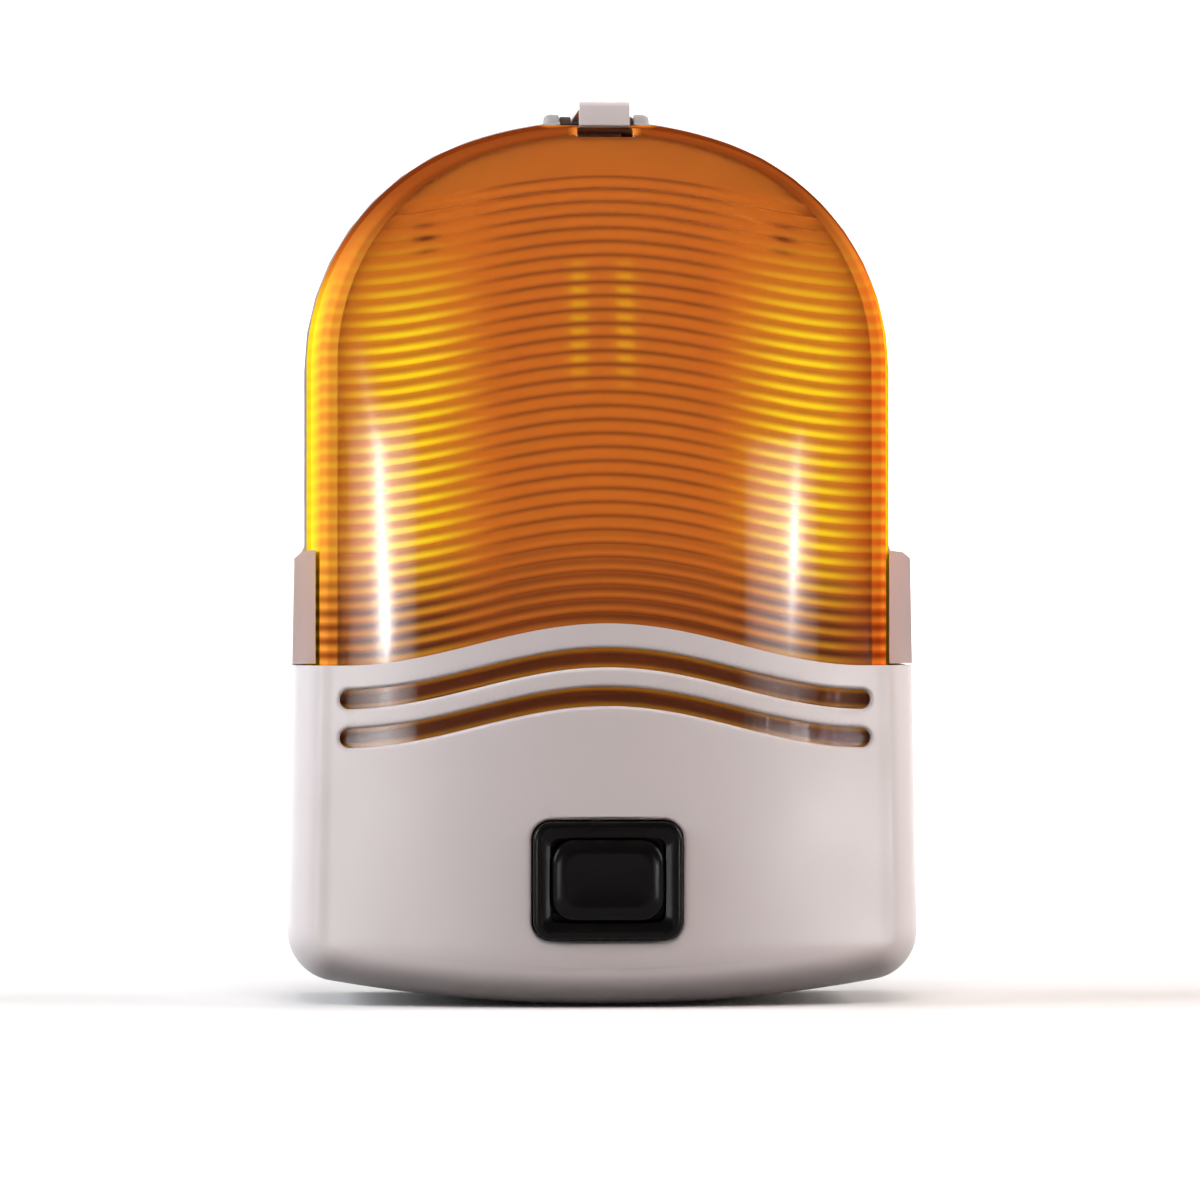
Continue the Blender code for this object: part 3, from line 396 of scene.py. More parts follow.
def moulding_group():
    """Moulded plastic: a fine grain for the bump and a slow mottle for colour and gloss."""
    group, entry, leave = new_group("moulded_grain", {"Grain Scale": 2600.0, "Mottle Scale": 60.0},
                                    ("Grain", "Mottle"))
    where = add_node(group, "ShaderNodeTexCoord")
    for scale, out, detail in (("Grain Scale", "Grain", 3.0), ("Mottle Scale", "Mottle", 4.0)):
        noise = add_node(group, "ShaderNodeTexNoise")
        noise.inputs["Detail"].default_value = detail
        group.links.new(where.outputs["Object"], noise.inputs["Vector"])
        group.links.new(entry.outputs[scale], noise.inputs["Scale"])
        group.links.new(noise.outputs["Fac"], leave.inputs[out])
    return group


def dust_group():
    """Dust that settles on faces that look up, broken by noise."""
    group, entry, leave = new_group("settled_dust", {"Amount": 0.5, "Scale": 180.0}, ("Dust",))
    where = add_node(group, "ShaderNodeTexCoord")
    noise = add_node(group, "ShaderNodeTexNoise")
    noise.inputs["Detail"].default_value = 5.0
    group.links.new(where.outputs["Object"], noise.inputs["Vector"])
    group.links.new(entry.outputs["Scale"], noise.inputs["Scale"])
    facing = add_node(group, "ShaderNodeNewGeometry")
    split = add_node(group, "ShaderNodeSeparateXYZ")
    group.links.new(facing.outputs["Normal"], split.inputs["Vector"])
    up = scaled(group, split.outputs["Z"], 0.0, 1.0, 0.2, 1.0)
    patch = scaled(group, noise.outputs["Fac"], 0.0, 1.0, 0.42, 0.7)
    both = add_node(group, "ShaderNodeMath", operation='MULTIPLY')
    group.links.new(up, both.inputs[0])
    group.links.new(patch, both.inputs[1])
    total = add_node(group, "ShaderNodeMath", operation='MULTIPLY')
    group.links.new(both.outputs[0], total.inputs[0])
    group.links.new(entry.outputs["Amount"], total.inputs[1])
    group.links.new(total.outputs[0], leave.inputs["Dust"])
    return group


MOULDING = moulding_group()
DUST = dust_group()


def placed(tree, group, **values):
    """Node of a group; an underscore in a value's name stands for a space."""
    node = add_node(tree, "ShaderNodeGroup", node_tree=group)
    for key, value in values.items():
        node.inputs[key.replace("_", " ")].default_value = value
    return node


def bumped(tree, shader, height, strength, distance):
    """Fine relief on the shader's normal."""
    bump = add_node(tree, "ShaderNodeBump")
    bump.inputs["Strength"].default_value = strength
    bump.inputs["Distance"].default_value = distance * MM
    tree.links.new(height, bump.inputs["Height"])
    tree.links.new(bump.outputs["Normal"], shader.inputs["Normal"])


def moulded_plastic(name, light, dark, gloss, grain=0.12, dust=0.3, level=0.5, grain_scale=2600.0):
    """Satin moulded plastic between two close colours, with grain and a little dust."""
    finish, tree, shader = shader_of(name)
    base = placed(tree, MOULDING, Grain_Scale=grain_scale)
    settled = placed(tree, DUST, Amount=dust)
    colour = mixed(tree, base.outputs["Mottle"], light, dark)
    dusty = mixed(tree, settled.outputs["Dust"], colour, (0.42, 0.38, 0.33))
    tree.links.new(dusty, shader.inputs["Base Color"])
    tree.links.new(scaled(tree, base.outputs["Mottle"], *gloss, 0.3, 0.7), shader.inputs["Roughness"])
    shader.inputs["Specular IOR Level"].default_value = level
    bumped(tree, shader, base.outputs["Grain"], grain, 0.05)
    return finish


def lens_skin_finish():
    """Polished outer skin of the lens: clear, faintly tinted, with hair scratches."""
    finish, tree, shader = shader_of("amber_skin", (1.0, 0.86, 0.48))
    shader.inputs["Transmission Weight"].default_value = 1.0
    shader.inputs["IOR"].default_value = AMBER_INDEX
    where = add_node(tree, "ShaderNodeTexCoord")
    stretch = add_node(tree, "ShaderNodeMapping")
    stretch.inputs["Scale"].default_value = (1.0, 1.0, 0.05)
    noise = add_node(tree, "ShaderNodeTexNoise")
    noise.inputs["Scale"].default_value = 900.0
    noise.inputs["Detail"].default_value = 4.0
    tree.links.new(where.outputs["Object"], stretch.inputs["Vector"])
    tree.links.new(stretch.outputs["Vector"], noise.inputs["Vector"])
    tree.links.new(scaled(tree, noise.outputs["Fac"], 0.03, 0.10, 0.45, 0.75), shader.inputs["Roughness"])
    return finish


# Painted light and shade in the lens, in the order in which they lie over its amber, and the light that the
# painted glow gives off though the lens is no lamp
LENS_PAINTED_LIGHT = {"ember": (0.92, 0.12, 0.012), "glow": (1.0, 0.95, 0.03), "shade": (0.20, 0.022, 0.005)}
PAINTED_GLOW_LIGHT = (0.42, 0.30, 0.0)


def lens_light_finish(name, roughness, see_through, painted_glow_strength):
    """Amber that takes the flutes' painted light and shade from the mesh: painted red embers, a painted
    yellow glow that also gives off light, and painted dark grooves.
    """
    finish, tree, shader = shader_of(name, roughness=roughness)
    shader.inputs["Transmission Weight"].default_value = see_through
    shader.inputs["IOR"].default_value = AMBER_INDEX
    shader.inputs["Specular IOR Level"].default_value = 0.0
    base = placed(tree, MOULDING, Grain_Scale=1500.0)
    colour = mixed(tree, base.outputs["Mottle"], (0.95, 0.31, 0.04), (0.89, 0.28, 0.034))
    for part, tint in LENS_PAINTED_LIGHT.items():
        level = add_node(tree, "ShaderNodeAttribute", attribute_name=part)
        colour = mixed(tree, level.outputs["Fac"], colour, tint)
        if part == "glow":
            painted_glow_colour = mixed(tree, level.outputs["Fac"], (0.0, 0.0, 0.0), PAINTED_GLOW_LIGHT)
    tree.links.new(colour, shader.inputs["Base Color"])
    tree.links.new(painted_glow_colour, shader.inputs["Emission Color"])
    shader.inputs["Emission Strength"].default_value = painted_glow_strength
    return finish


def lens_edge_finish():
    """Cut edges of the lens, painted a bright yellow for the light the wall carries."""
    finish, tree, shader = shader_of("amber_edge", roughness=0.25)
    shader.inputs["Transmission Weight"].default_value = 0.3
    base = placed(tree, MOULDING, Grain_Scale=1500.0)
    colour = mixed(tree, base.outputs["Mottle"], (1.0, 0.62, 0.04), (0.95, 0.5, 0.03))
    tree.links.new(colour, shader.inputs["Base Color"])
    return finish


def plated_metal(name, light, dark, gloss):
    """Plated metal with a slow change of tone and a fine grain."""
    finish, tree, shader = shader_of(name, metallic=1.0)
    base = placed(tree, MOULDING, Grain_Scale=1800.0, Mottle_Scale=220.0)
    tree.links.new(mixed(tree, base.outputs["Mottle"], light, dark), shader.inputs["Base Color"])
    tree.links.new(scaled(tree, base.outputs["Mottle"], *gloss, 0.3, 0.7), shader.inputs["Roughness"])
    bumped(tree, shader, base.outputs["Grain"], 0.08, 0.03)
    return finish


def clear_glass():
    """Blown glass with a faint bloom."""
    finish, tree, shader = shader_of("bulb_clear", (0.97, 0.97, 0.95))
    shader.inputs["Transmission Weight"].default_value = 1.0
    shader.inputs["IOR"].default_value = 1.5
    base = placed(tree, MOULDING, Grain_Scale=300.0)
    tree.links.new(scaled(tree, base.outputs["Grain"], 0.0, 0.04), shader.inputs["Roughness"])
    return finish


def board_finish():
    """Green board with copper tracks under the mask."""
    finish, tree, shader = shader_of("board_mask", roughness=0.4)
    where = add_node(tree, "ShaderNodeTexCoord")
    tracks = add_node(tree, "ShaderNodeTexBrick")
    tracks.inputs["Scale"].default_value = 130.0
    tracks.inputs["Mortar Size"].default_value = 0.08
    tracks.inputs["Color1"].default_value = (0.03, 0.15, 0.06, 1.0)
    tracks.inputs["Color2"].default_value = (0.035, 0.18, 0.07, 1.0)
    tracks.inputs["Mortar"].default_value = (0.06, 0.28, 0.12, 1.0)
    tree.links.new(where.outputs["Object"], tracks.inputs["Vector"])
    tree.links.new(tracks.outputs["Color"], shader.inputs["Base Color"])
    return finish


SHELL = moulded_plastic("shell_white", (0.735, 0.68, 0.685), (0.70, 0.645, 0.645), (0.29, 0.37))
BLACK = moulded_plastic("switch_black", (0.003, 0.0026, 0.0026), (0.005, 0.0044, 0.0044), (0.20, 0.26),
                        grain=0.15, dust=0.02, level=0.085)
REFLECTOR = moulded_plastic("reflector_white", (0.84, 0.82, 0.78), (0.80, 0.78, 0.74), (0.2, 0.3),
                            grain=0.04, dust=0.1)
# Painted shade: the bushes' dark brown stands for the shadow in the gaps beside the clip
BUSH_PAINTED_SHADE = moulded_plastic("hinge_painted_shade", (0.085, 0.042, 0.024), (0.06, 0.03, 0.018), (0.35, 0.5))
# Painted shade: the cheeks are the white shell painted grey where they lie in shade
LUG_PAINTED_SHADE = moulded_plastic("lug_painted_shade", (0.42, 0.41, 0.40), (0.36, 0.35, 0.34), (0.35, 0.45))
CHIP = moulded_plastic("chip_black", (0.018, 0.018, 0.018), (0.026, 0.026, 0.026), (0.45, 0.6),
                       grain=0.3, dust=0.1)
JACKET = moulded_plastic("cell_jacket", (0.045, 0.055, 0.085), (0.06, 0.07, 0.10), (0.25, 0.4),
                         grain=0.05, dust=0.1)
CRADLE = moulded_plastic("cradle_grey", (0.23, 0.23, 0.24), (0.28, 0.28, 0.29), (0.45, 0.6))
GASKET = moulded_plastic("gasket_foam", (0.018, 0.018, 0.018), (0.03, 0.03, 0.03), (0.8, 0.95),
                         grain=0.6, dust=0.1, level=0.3, grain_scale=1200.0)
STEEL = plated_metal("zinc_steel", (0.66, 0.66, 0.64), (0.54, 0.54, 0.52), (0.25, 0.42))
BRASS = plated_metal("brass_strip", (0.76, 0.56, 0.26), (0.66, 0.46, 0.18), (0.25, 0.42))
GLASS = clear_glass()
BOARD = board_finish()
AMBER_SKIN = lens_skin_finish()
# The ribs and the rim show the painted light and shade; their painted glow gives off light
AMBER_RIBS = lens_light_finish("amber_ribs", roughness=0.4, see_through=0.3, painted_glow_strength=1.0)
AMBER_RIM = lens_light_finish("amber_rim", roughness=0.35, see_through=0.0, painted_glow_strength=0.2)
# Painted shade: dark brown for the notch cuts in the lens, where the notches lie in shadow
AMBER_PAINTED_SHADE = moulded_plastic("amber_painted_shade", (0.16, 0.05, 0.016), (0.12, 0.038, 0.012), (0.4, 0.5),
                             grain=0.1, dust=0.0, level=0.1)
AMBER_EDGE = lens_edge_finish()


# Lens: polished outside, fluted inside
RIB_SAMPLES = 8
CAP_ROWS = 24
LENS_COLUMNS = 72
LENS_SHARP = 50.0


def lens_rows():
    """Front edge (x, z, angle), wave rise and rib position of every row, from the bottom to the crown."""
    order = np.linspace(RIB_COUNT, 0.0, RIB_COUNT * RIB_SAMPLES + 1)
    rise = TOP_RIB_RISE + (WAVE_RISE - TOP_RIB_RISE) * order / RIB_COUNT
    height = FIRST_RIB - order * RIB_PITCH - rise
    angle = arch_angle(LENS_EDGE, height)
    x, z = arch_point(LENS_EDGE, angle)
    z = np.where(angle == 0.0, height, z)
    share = np.linspace(0.0, 1.0, CAP_ROWS + 1)[1:]
    cap_angle = angle[-1] + (np.pi / 2 - angle[-1]) * share
    cap_x, cap_z = arch_point(LENS_EDGE, cap_angle)
    cap_x[-1] = 0.0
    edge = [np.concatenate(pair) for pair in ((x, cap_x), (z, cap_z), (angle, cap_angle))]
    rise = np.concatenate([rise, TOP_RIB_RISE * (1 - share) ** 2])
    order = np.concatenate([order, -share * 4.0])
    return edge, rise, order


def make_lens():
    """Hood whose inner face carries flutes: the wall grows by |sin| of the rib position between grooves."""
    edge, rise, order = lens_rows()
    flange_front = FLANGE_REAR + FLANGE_THICKNESS
    step_out = LENS_EDGE - FLANGE_GAP
    step_hood = LENS_EDGE - HOOD_INSET
    step_in = step_hood - LENS_WALL
    outer_rim = ((step_out, FLANGE_REAR), (step_out, flange_front), (step_hood, flange_front))
    inner_rim = ((step_in, FLANGE_REAR), (step_in, FLANGE_REAR + 0.9), (step_in, flange_front))
    share = np.linspace(-1.0, 1.0, LENS_COLUMNS + 1)[None, 1:-1]
    x = edge[0][:, None] * share
    ribbed = (order >= 0.0)[:, None]
    fade = np.clip((edge[0][:, None] - np.abs(x)) / 2.0, 0.0, 1.0)
    flute = np.abs(np.sin(np.pi * order))[:, None] * ribbed * fade
    inner_round = (LENS_ROUND[0] - LENS_WALL, LENS_ROUND[1] - LENS_WALL)
    outer = hood_skin(edge, rise, lens_front, outer_rim, LENS_ROUND, LENS_COLUMNS)
    inner = hood_skin(edge, rise, lambda a, b: lens_front(a, b) - LENS_WALL, inner_rim, inner_round,
                      LENS_COLUMNS, RIB_DEPTH * flute)
    points, faces, skins = hood_solid(outer, inner)
    # Painted light and shade for both skins: the outer skin takes the rim's or the flutes' painted light,
    # whichever is stronger
    on_rim = np.maximum(rim_light(outer), lens_light(outer, order))
    values = {name: np.concatenate([around.ravel(), within.ravel()]) for name, around, within in
              zip(("glow", "shade", "ember"), on_rim, lens_light(inner, order))}
    rim_faces = np.tile(faces_on_rim(outer.shape[1], len(outer_rim)), len(outer) - 1)
    skins[:len(rim_faces)][rim_faces] = 3
    finishes = [AMBER_SKIN, AMBER_RIBS, AMBER_EDGE, AMBER_RIM]
    piece = build("lens_hood", place(points), faces, finishes, skins, values, LENS_SHARP)
    low = (-FLANGE_NOTCH, FLANGE_REAR - 1.0, ARCH_TOP - HOOD_INSET + 0.1)
    high = (FLANGE_NOTCH, flange_front + 0.6, ARCH_TOP + 4.0)
    # The notch cuts take the dark brown of painted shade
    cut_away(piece, [box_cutter("flange_notch", low, high, AMBER_PAINTED_SHADE),
                     box_cutter("catch_notch", CATCH_LOW, CATCH_HIGH, AMBER_PAINTED_SHADE)])
    settle(piece, "lens", "amber", "lens")


def ramp(values, start, end):
    """Smooth rise from 0 at start to 1 at end."""
    share = np.clip((values - start) / (end - start), 0.0, 1.0)
    return share * share * (3.0 - 2.0 * share)


def bell(values, middle, width):
    """Bell-shaped rise to 1 at the middle."""
    return np.exp(-((values - middle) / width) ** 2)


def faces_on_rim(count, before):
    """Which faces of a row of points lie on the hood's rim or its rounding."""
    position = np.arange(count - 1)
    reach = before + ROUND_STEPS
    return (position < reach) | (position >= count - 1 - reach)


def rim_light(skin):
    """Painted light and shade on the rim: painted yellow light along the rear of the side walls, painted
    dark red shade round the crown, painted red light (embers) down the right edge.
    """
    x, y, z = np.moveaxis(skin, -1, 0)
    front = 42.0 + 4.0 * ramp(z, 112.0, 104.0)
    glow = 0.8 * ramp(z, 165.0, 145.0) * ramp(-y, front, front - 3.0)
    shade = 0.85 * ramp(z, 150.0, 178.0)
    ember = 0.7 * ramp(x, 45.0, 60.0) * ramp(z, 170.0, 150.0)
    return np.stack([glow, shade, ember])


def lens_light(skin, order):
    """Light and shade painted for what the flutes do with light, as three numbers for each point of a skin.

    glow: painted yellow wedges of light above the grooves in the side thirds, and two columns of painted
    glints from the bulb.
    shade: painted shade in thin grooves in the middle, in brown bands beside the wedges and at the foot, and
    in short dashes where the reflector's screws show through. ember: painted red light along the right edge.
    Points behind the cover's slots take the slots' painted light and shade instead.
    """
    x = skin[..., 0]
    z = skin[..., 2]
    out = np.abs(x)
    phase = np.mod(order, 1.0)[:, None]
    groove = np.minimum(phase, 1.0 - phase)
    ribbed = (order >= 0.0)[:, None]
    side = ramp(out, 23.0, 41.0)
    near_rim = ramp(out, 46.0, 57.0)
    upper = ramp(z, 170.0, 138.0)
    foot = ramp(z, 100.0 + 9.0 * wave(x), 80.0 + 9.0 * wave(x))
    wedge = bell(phase, 0.72, 0.12 + 0.13 * side - 0.06 * foot)
    bulb_glints = sum(bell(x, middle, 1.7) for middle in PAINTED_BULB_GLINTS)
    bulb_glints = 0.45 * bulb_glints * bell(phase, 0.55, 0.25) * ramp(z, 162.0, 156.0) * ramp(z, 130.0, 140.0)
    glow = side * upper * (1.0 - 0.75 * near_rim) * (0.12 + 0.88 * wedge) * (1.0 - 0.75 * foot) + bulb_glints
    line = 0.68 * bell(groove, 0.0, 0.16) * (1.0 - ramp(out, 18.0, 32.0))
    band = 0.34 * side * upper * (1.0 - 0.7 * near_rim) + 0.75 * foot
    band = band * bell(phase, 0.30, 0.24 + 0.10 * foot)
    screw_shade = 1.2 * bell(out, PAINTED_SCREW_DASHES[0], 2.4) * bell(groove, 0.0, 0.2) * bell(z, PAINTED_SCREW_DASHES[1], 3.5)
    shade = np.maximum(np.maximum(line, band), screw_shade)
    ember = ramp(x, 48.0, 60.0) * ramp(z, 165.0, 135.0) * (0.6 + 0.4 * bell(phase, 0.2, 0.3))
    # Above the ribs the cap takes an even, light painted shade
    shade = np.where(ribbed, shade, 0.10)
    levels = np.stack([glow * ribbed, shade, ember * ribbed])
    for height in SLOT_HEIGHTS:
        beside = z - height - WAVE_RISE * wave(x)
        levels = np.where(np.abs(beside) < SLOT_WIDTH, slot_light(beside), levels)
    return np.clip(levels, 0.0, 1.0)


def slot_light(beside):
    """Behind a slot: painted shade in the middle between two lines of painted orange light; beside is the
    height over its middle.
    """
    line = bell(np.abs(beside), 0.42 * SLOT_WIDTH, 0.5)
    return np.stack([0.12 * line, 0.85 - 0.85 * line, 0.3 * line])


# Front cover with the wave edge, lipped slots and the switch opening
COVER_ROWS = 40
COVER_COLUMNS = 80
COVER_SHARP = 32.0


def bottom_point(inset, angle):
    """Right half of the bottom: angle 0 at the side, a right angle straight down."""
    corner = angle < np.pi / 2 - CORNER_ANGLE
    radius = np.where(corner, CORNER_RADIUS, BOTTOM_RADIUS) - inset
    x = np.where(corner, CORNER_X, 0.0) + radius * np.cos(angle)
    z = np.where(corner, CORNER_Z, BOTTOM_RADIUS) - radius * np.sin(angle)
    return x, z


def cover_skin(inset, rounding, front):
    """Cover skin from the wave edge down the tapered sides, round the corners and along the bottom arc."""
    edge_inset = inset + rounding[0]
    share = np.linspace(0.0, 1.0, COVER_ROWS, endpoint=False)
    z = COVER_EDGE + (CORNER_Z - COVER_EDGE) * share
    taper = (z - CORNER_Z) / (SHOULDER_HEIGHT - CORNER_Z)
    x = BODY_HALF_WIDTH + (SHOULDER_HALF_WIDTH - BODY_HALF_WIDTH) * taper - edge_inset
    turn = np.pi / 2 - CORNER_ANGLE
    angle = np.concatenate([np.linspace(0.0, turn - 1e-6, 16), np.linspace(turn, np.pi / 2, 9)[1:]])
    low_x, low_z = bottom_point(edge_inset, angle)
    low_x[-1] = 0.0
    edge = [np.concatenate(pair) for pair in ((x, low_x), (z, low_z), (0.0 * x, -angle))]
    rise = np.concatenate([WAVE_RISE * (1.0 - share) ** 1.5, 0.0 * angle])
    rim = ((rounding[0], COVER_REAR), (rounding[0], COVER_REAR + 4.0))
    return hood_skin(edge, rise, front, rim, rounding, COVER_COLUMNS, round_steps=12)


def slot_outline(height, grow):
    """Wave-shaped slot with round ends, grown all round, as (points, 2)."""
    radius = SLOT_WIDTH / 2
    reach = SLOT_HALF_LENGTH - radius
    xs = np.linspace(-reach, reach, 97)
    turn = np.linspace(np.pi / 2, -np.pi / 2, 17)[1:-1]
    middle = height + WAVE_RISE * wave(xs)
    top = np.stack([xs, middle + radius + grow], -1)
    right = np.stack([reach + (radius + grow) * np.cos(turn), height + (radius + grow) * np.sin(turn)], -1)
    under = np.stack([xs, middle - radius - grow], -1)[::-1]
    left = np.stack([-right[:, 0], 2 * height - right[:, 1]], -1)
    return np.concatenate([top, right, under, left])


def rounded_rectangle(width, height, radius, steps=10):
    """Closed rectangle with round corners about the origin, as (points, 2)."""
    corner = np.repeat([0, 1, 2, 3], steps + 1)
    turn = np.pi / 2 * (corner + np.tile(np.linspace(0.0, 1.0, steps + 1), 4))
    sx = np.array([1, -1, -1, 1])[corner]
    sz = np.array([1, 1, -1, -1])[corner]
    return np.stack([sx * (width / 2 - radius) + radius * np.cos(turn),
                     sz * (height / 2 - radius) + radius * np.sin(turn)], -1)


# Lip of an opening: growth of the outline at each depth below the cover's face
LIP = ((0.75, -3.0), (0.75, 0.0), (0.42, 0.08), (0.15, 0.30), (0.0, 0.70), (0.0, 8.0))


def lipped_cutter(name, outline_at):
    """Cutter whose rings follow the cover's face, so that the opening gets a rounded lip."""
    rings = []
    for grow, below in LIP:
        flat = outline_at(grow)
        depth = cover_front(flat[:, 0], flat[:, 1]) - below
        rings.append(np.stack([flat[:, 0], -depth, flat[:, 1]], -1))
    points, faces = ringed(place(np.array(rings)))
    return build(name, points, faces, [])


def make_cover():
    """Cover shell with its slots and the switch opening cut out."""
    inner_round = (COVER_ROUND[0] - COVER_WALL, COVER_ROUND[1] - COVER_WALL)
    outer = cover_skin(0.0, COVER_ROUND, cover_front)
    inner = cover_skin(COVER_WALL, inner_round, lambda x, z: cover_front(x, z) - COVER_WALL)
    points, faces, _ = hood_solid(outer, inner)
    piece = build("cover_shell", place(points), faces, [SHELL])
    cutters = [lipped_cutter(f"slot_{k}", lambda grow, height=height: slot_outline(height, grow))
               for k, height in enumerate(SLOT_HEIGHTS)]

    def opening(grow):
        """Outline of the switch opening, grown all round."""
        width, height = (size + 2 * SWITCH_GAP + 2 * grow for size in BEZEL_SIZE)
        flat = rounded_rectangle(width, height, BEZEL_CORNER + SWITCH_GAP + grow)
        return flat + np.array([0.0, SWITCH_HEIGHT])

    cutters.append(lipped_cutter("switch_opening", opening))
    cut_away(piece, cutters)
    piece.data.shade_smooth()
    piece.data.set_sharp_from_angle(angle=math.radians(COVER_SHARP))
    settle(piece, "housing", "shell", "front_cover")


# Switch bezel and button
def switch_rings(profile, width, height, corner):
    """Rings of a rounded rectangle; profile lists (shrink, depth) and the corners shrink with it."""
    rings = []
    for shrink, depth in profile:
        flat = rounded_rectangle(width - 2 * shrink, height - 2 * shrink, max(corner - 0.55 * shrink, 0.4))
        rings.append(np.stack([flat[:, 0], np.full(len(flat), -depth), flat[:, 1] + SWITCH_HEIGHT], -1))
    return place(np.array(rings))


def quarter(start, end, steps=7):
    """Quarter ellipse of (shrink, depth) pairs that leaves the side and arrives on the face."""
    turn = np.linspace(0.0, np.pi / 2, steps)
    shrink = start[0] + (end[0] - start[0]) * (1 - np.cos(turn))
    depth = start[1] + (end[1] - start[1]) * np.sin(turn)
    return list(zip(shrink, depth))


def round_rod(name, radius, ends):
    """Round rod on the switch's middle line between two depths."""
    turn = np.linspace(0.0, 2 * np.pi, 24, endpoint=False)
    rings = np.array([np.stack([radius * np.cos(turn), np.full_like(turn, -depth),
                                SWITCH_HEIGHT + radius * np.sin(turn)], -1) for depth in ends])
    points, faces = ringed(place(rings))
    return build(name, points, faces, [BLACK])


def make_bezel():
    """Frame with a round outer edge, a shallow slope and a well for the button."""
    side = (BEZEL_SIZE[0] - PAD_SIZE[0]) / 2 - SWITCH_GAP
    profile = [(0.0, BEZEL_REAR)] + quarter((0.0, BEZEL_FRONT - 1.1), (1.1, BEZEL_FRONT))
    profile += [(1.7, BEZEL_FRONT - 0.02), (2.1, BEZEL_FRONT - 0.35), (side - 0.5, BEZEL_FRONT - 0.75)]
    profile += [(side - 0.12, BEZEL_FRONT - 0.9), (side, BEZEL_FRONT - 1.2), (side, BEZEL_REAR + 2.2)]
    points, faces = ringed(switch_rings(profile, *BEZEL_SIZE, BEZEL_CORNER))
    piece = build("bezel_frame", points, faces, [BLACK])
    cut_away(piece, [round_rod("stem_hole", STEM_HOLE_RADIUS, (BEZEL_REAR - 1.0, BEZEL_REAR + 3.2))])
    settle(piece, "housing", "switch_black", "switch_bezel")


def make_button():
    """Pad with a generous round edge and a face that is dished a little, on a round stem."""
    settle(round_rod("button_stem", STEM_RADIUS, (STEM_REAR, PAD_REAR - 0.02)), "button", "switch_black")
    profile = [(0.0, PAD_REAR)] + quarter((0.0, PAD_FRONT - 1.7), (3.0, PAD_FRONT), 10)
    dish = ((3.4, 0.03), (4.6, 0.14), (6.0, 0.22), (7.6, 0.26))
    profile += [(shrink, PAD_FRONT - below) for shrink, below in dish]
    points, faces = ringed(switch_rings(profile, *PAD_SIZE, PAD_CORNER))
    settle(build("button_pad", points, faces, [BLACK]), "button", "switch_black", "switch_button")


# Cheeks painted grey and bushes painted dark brown as shade beside the clip, about its hinge
HINGE = (15.0, 191.6)
CHEEKS = ((8.2, 2.7), (8.5, 3.1), (10.3, 3.1), (11.0, 2.9), (11.5, 2.5), (11.7, 2.0))
BUSHES = ((5.6, 2.3), (5.8, 2.6), (7.8, 2.6), (8.1, 2.3))


def make_hinge_trim():
    """Turned shapes about the hinge line; each profile lists (distance from the middle, radius)."""
    turn = np.linspace(0.0, 2 * np.pi, 40, endpoint=False)
    trims = (("hinge_cheek", CHEEKS, LUG_PAINTED_SHADE, "shell"), ("hinge_bush", BUSHES, BUSH_PAINTED_SHADE, "gasket_black"))
    for name, profile, finish, slot in trims:
        across, radius = np.array(profile).T[..., None]
        for hand, side in (("left", -1.0), ("right", 1.0)):
            rings = np.stack([side * across + 0.0 * turn, -HINGE[0] - side * radius * np.cos(turn),
                              HINGE[1] + radius * np.sin(turn)], -1)
            points, faces = ringed(place(rings))
            settle(build(f"{name}_{hand}", points, faces, [finish]), "housing", slot)


# CAD nodes that keep their shape: metres for welding points, and degrees for joining flat faces
CAD_WELD = 2e-6
FLAT_ANGLE = 0.5


def dress(node, finish, slot, width):
    """Welded copy of a CAD node with a better finish and edges rounded over a width."""
    source = frame["nodes"][node]
    mesh = source.data.copy()
    bm = bmesh.new()
    bm.from_mesh(mesh)
    bmesh.ops.remove_doubles(bm, verts=bm.verts, dist=CAD_WELD)
    bmesh.ops.dissolve_limit(bm, angle_limit=math.radians(FLAT_ANGLE), verts=bm.verts, edges=bm.edges)
    bm.to_mesh(mesh)
    bm.free()
    mesh.materials.clear()
    mesh.materials.append(finish)
    mesh.shade_smooth()
    mesh.set_sharp_from_angle(angle=math.radians(SMOOTH_ANGLE))
    piece = bpy.data.objects.new(node + "_finish", mesh)
    bpy.context.scene.collection.objects.link(piece)
    bevel(piece, width)
    settle(piece, source["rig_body"], slot, node)


def paint(nodes, finish):
    """Better finish on CAD nodes whose shape stays."""
    for node in nodes:
        mesh = frame["nodes"][node].data
        mesh.materials.clear()
        mesh.materials.append(finish)


# Lamp inside the lens
LAMP_DEPTH = 38.0
BULB_NECK = 132.8
BULB_TOP = 160.0
BULB_RADIUS = 5.8


def turned(profile, sides=48):
    """Rings of a turned shape about the lamp's upright line; profile is (radius, height) pairs."""
    turn = np.linspace(0.0, 2 * np.pi, sides, endpoint=False)
    radius, height = np.array(profile).T
    x = radius[:, None] * np.cos(turn)
    y = -LAMP_DEPTH + radius[:, None] * np.sin(turn)
    return place(np.stack([x, y, np.repeat(height[:, None], sides, 1)], -1))


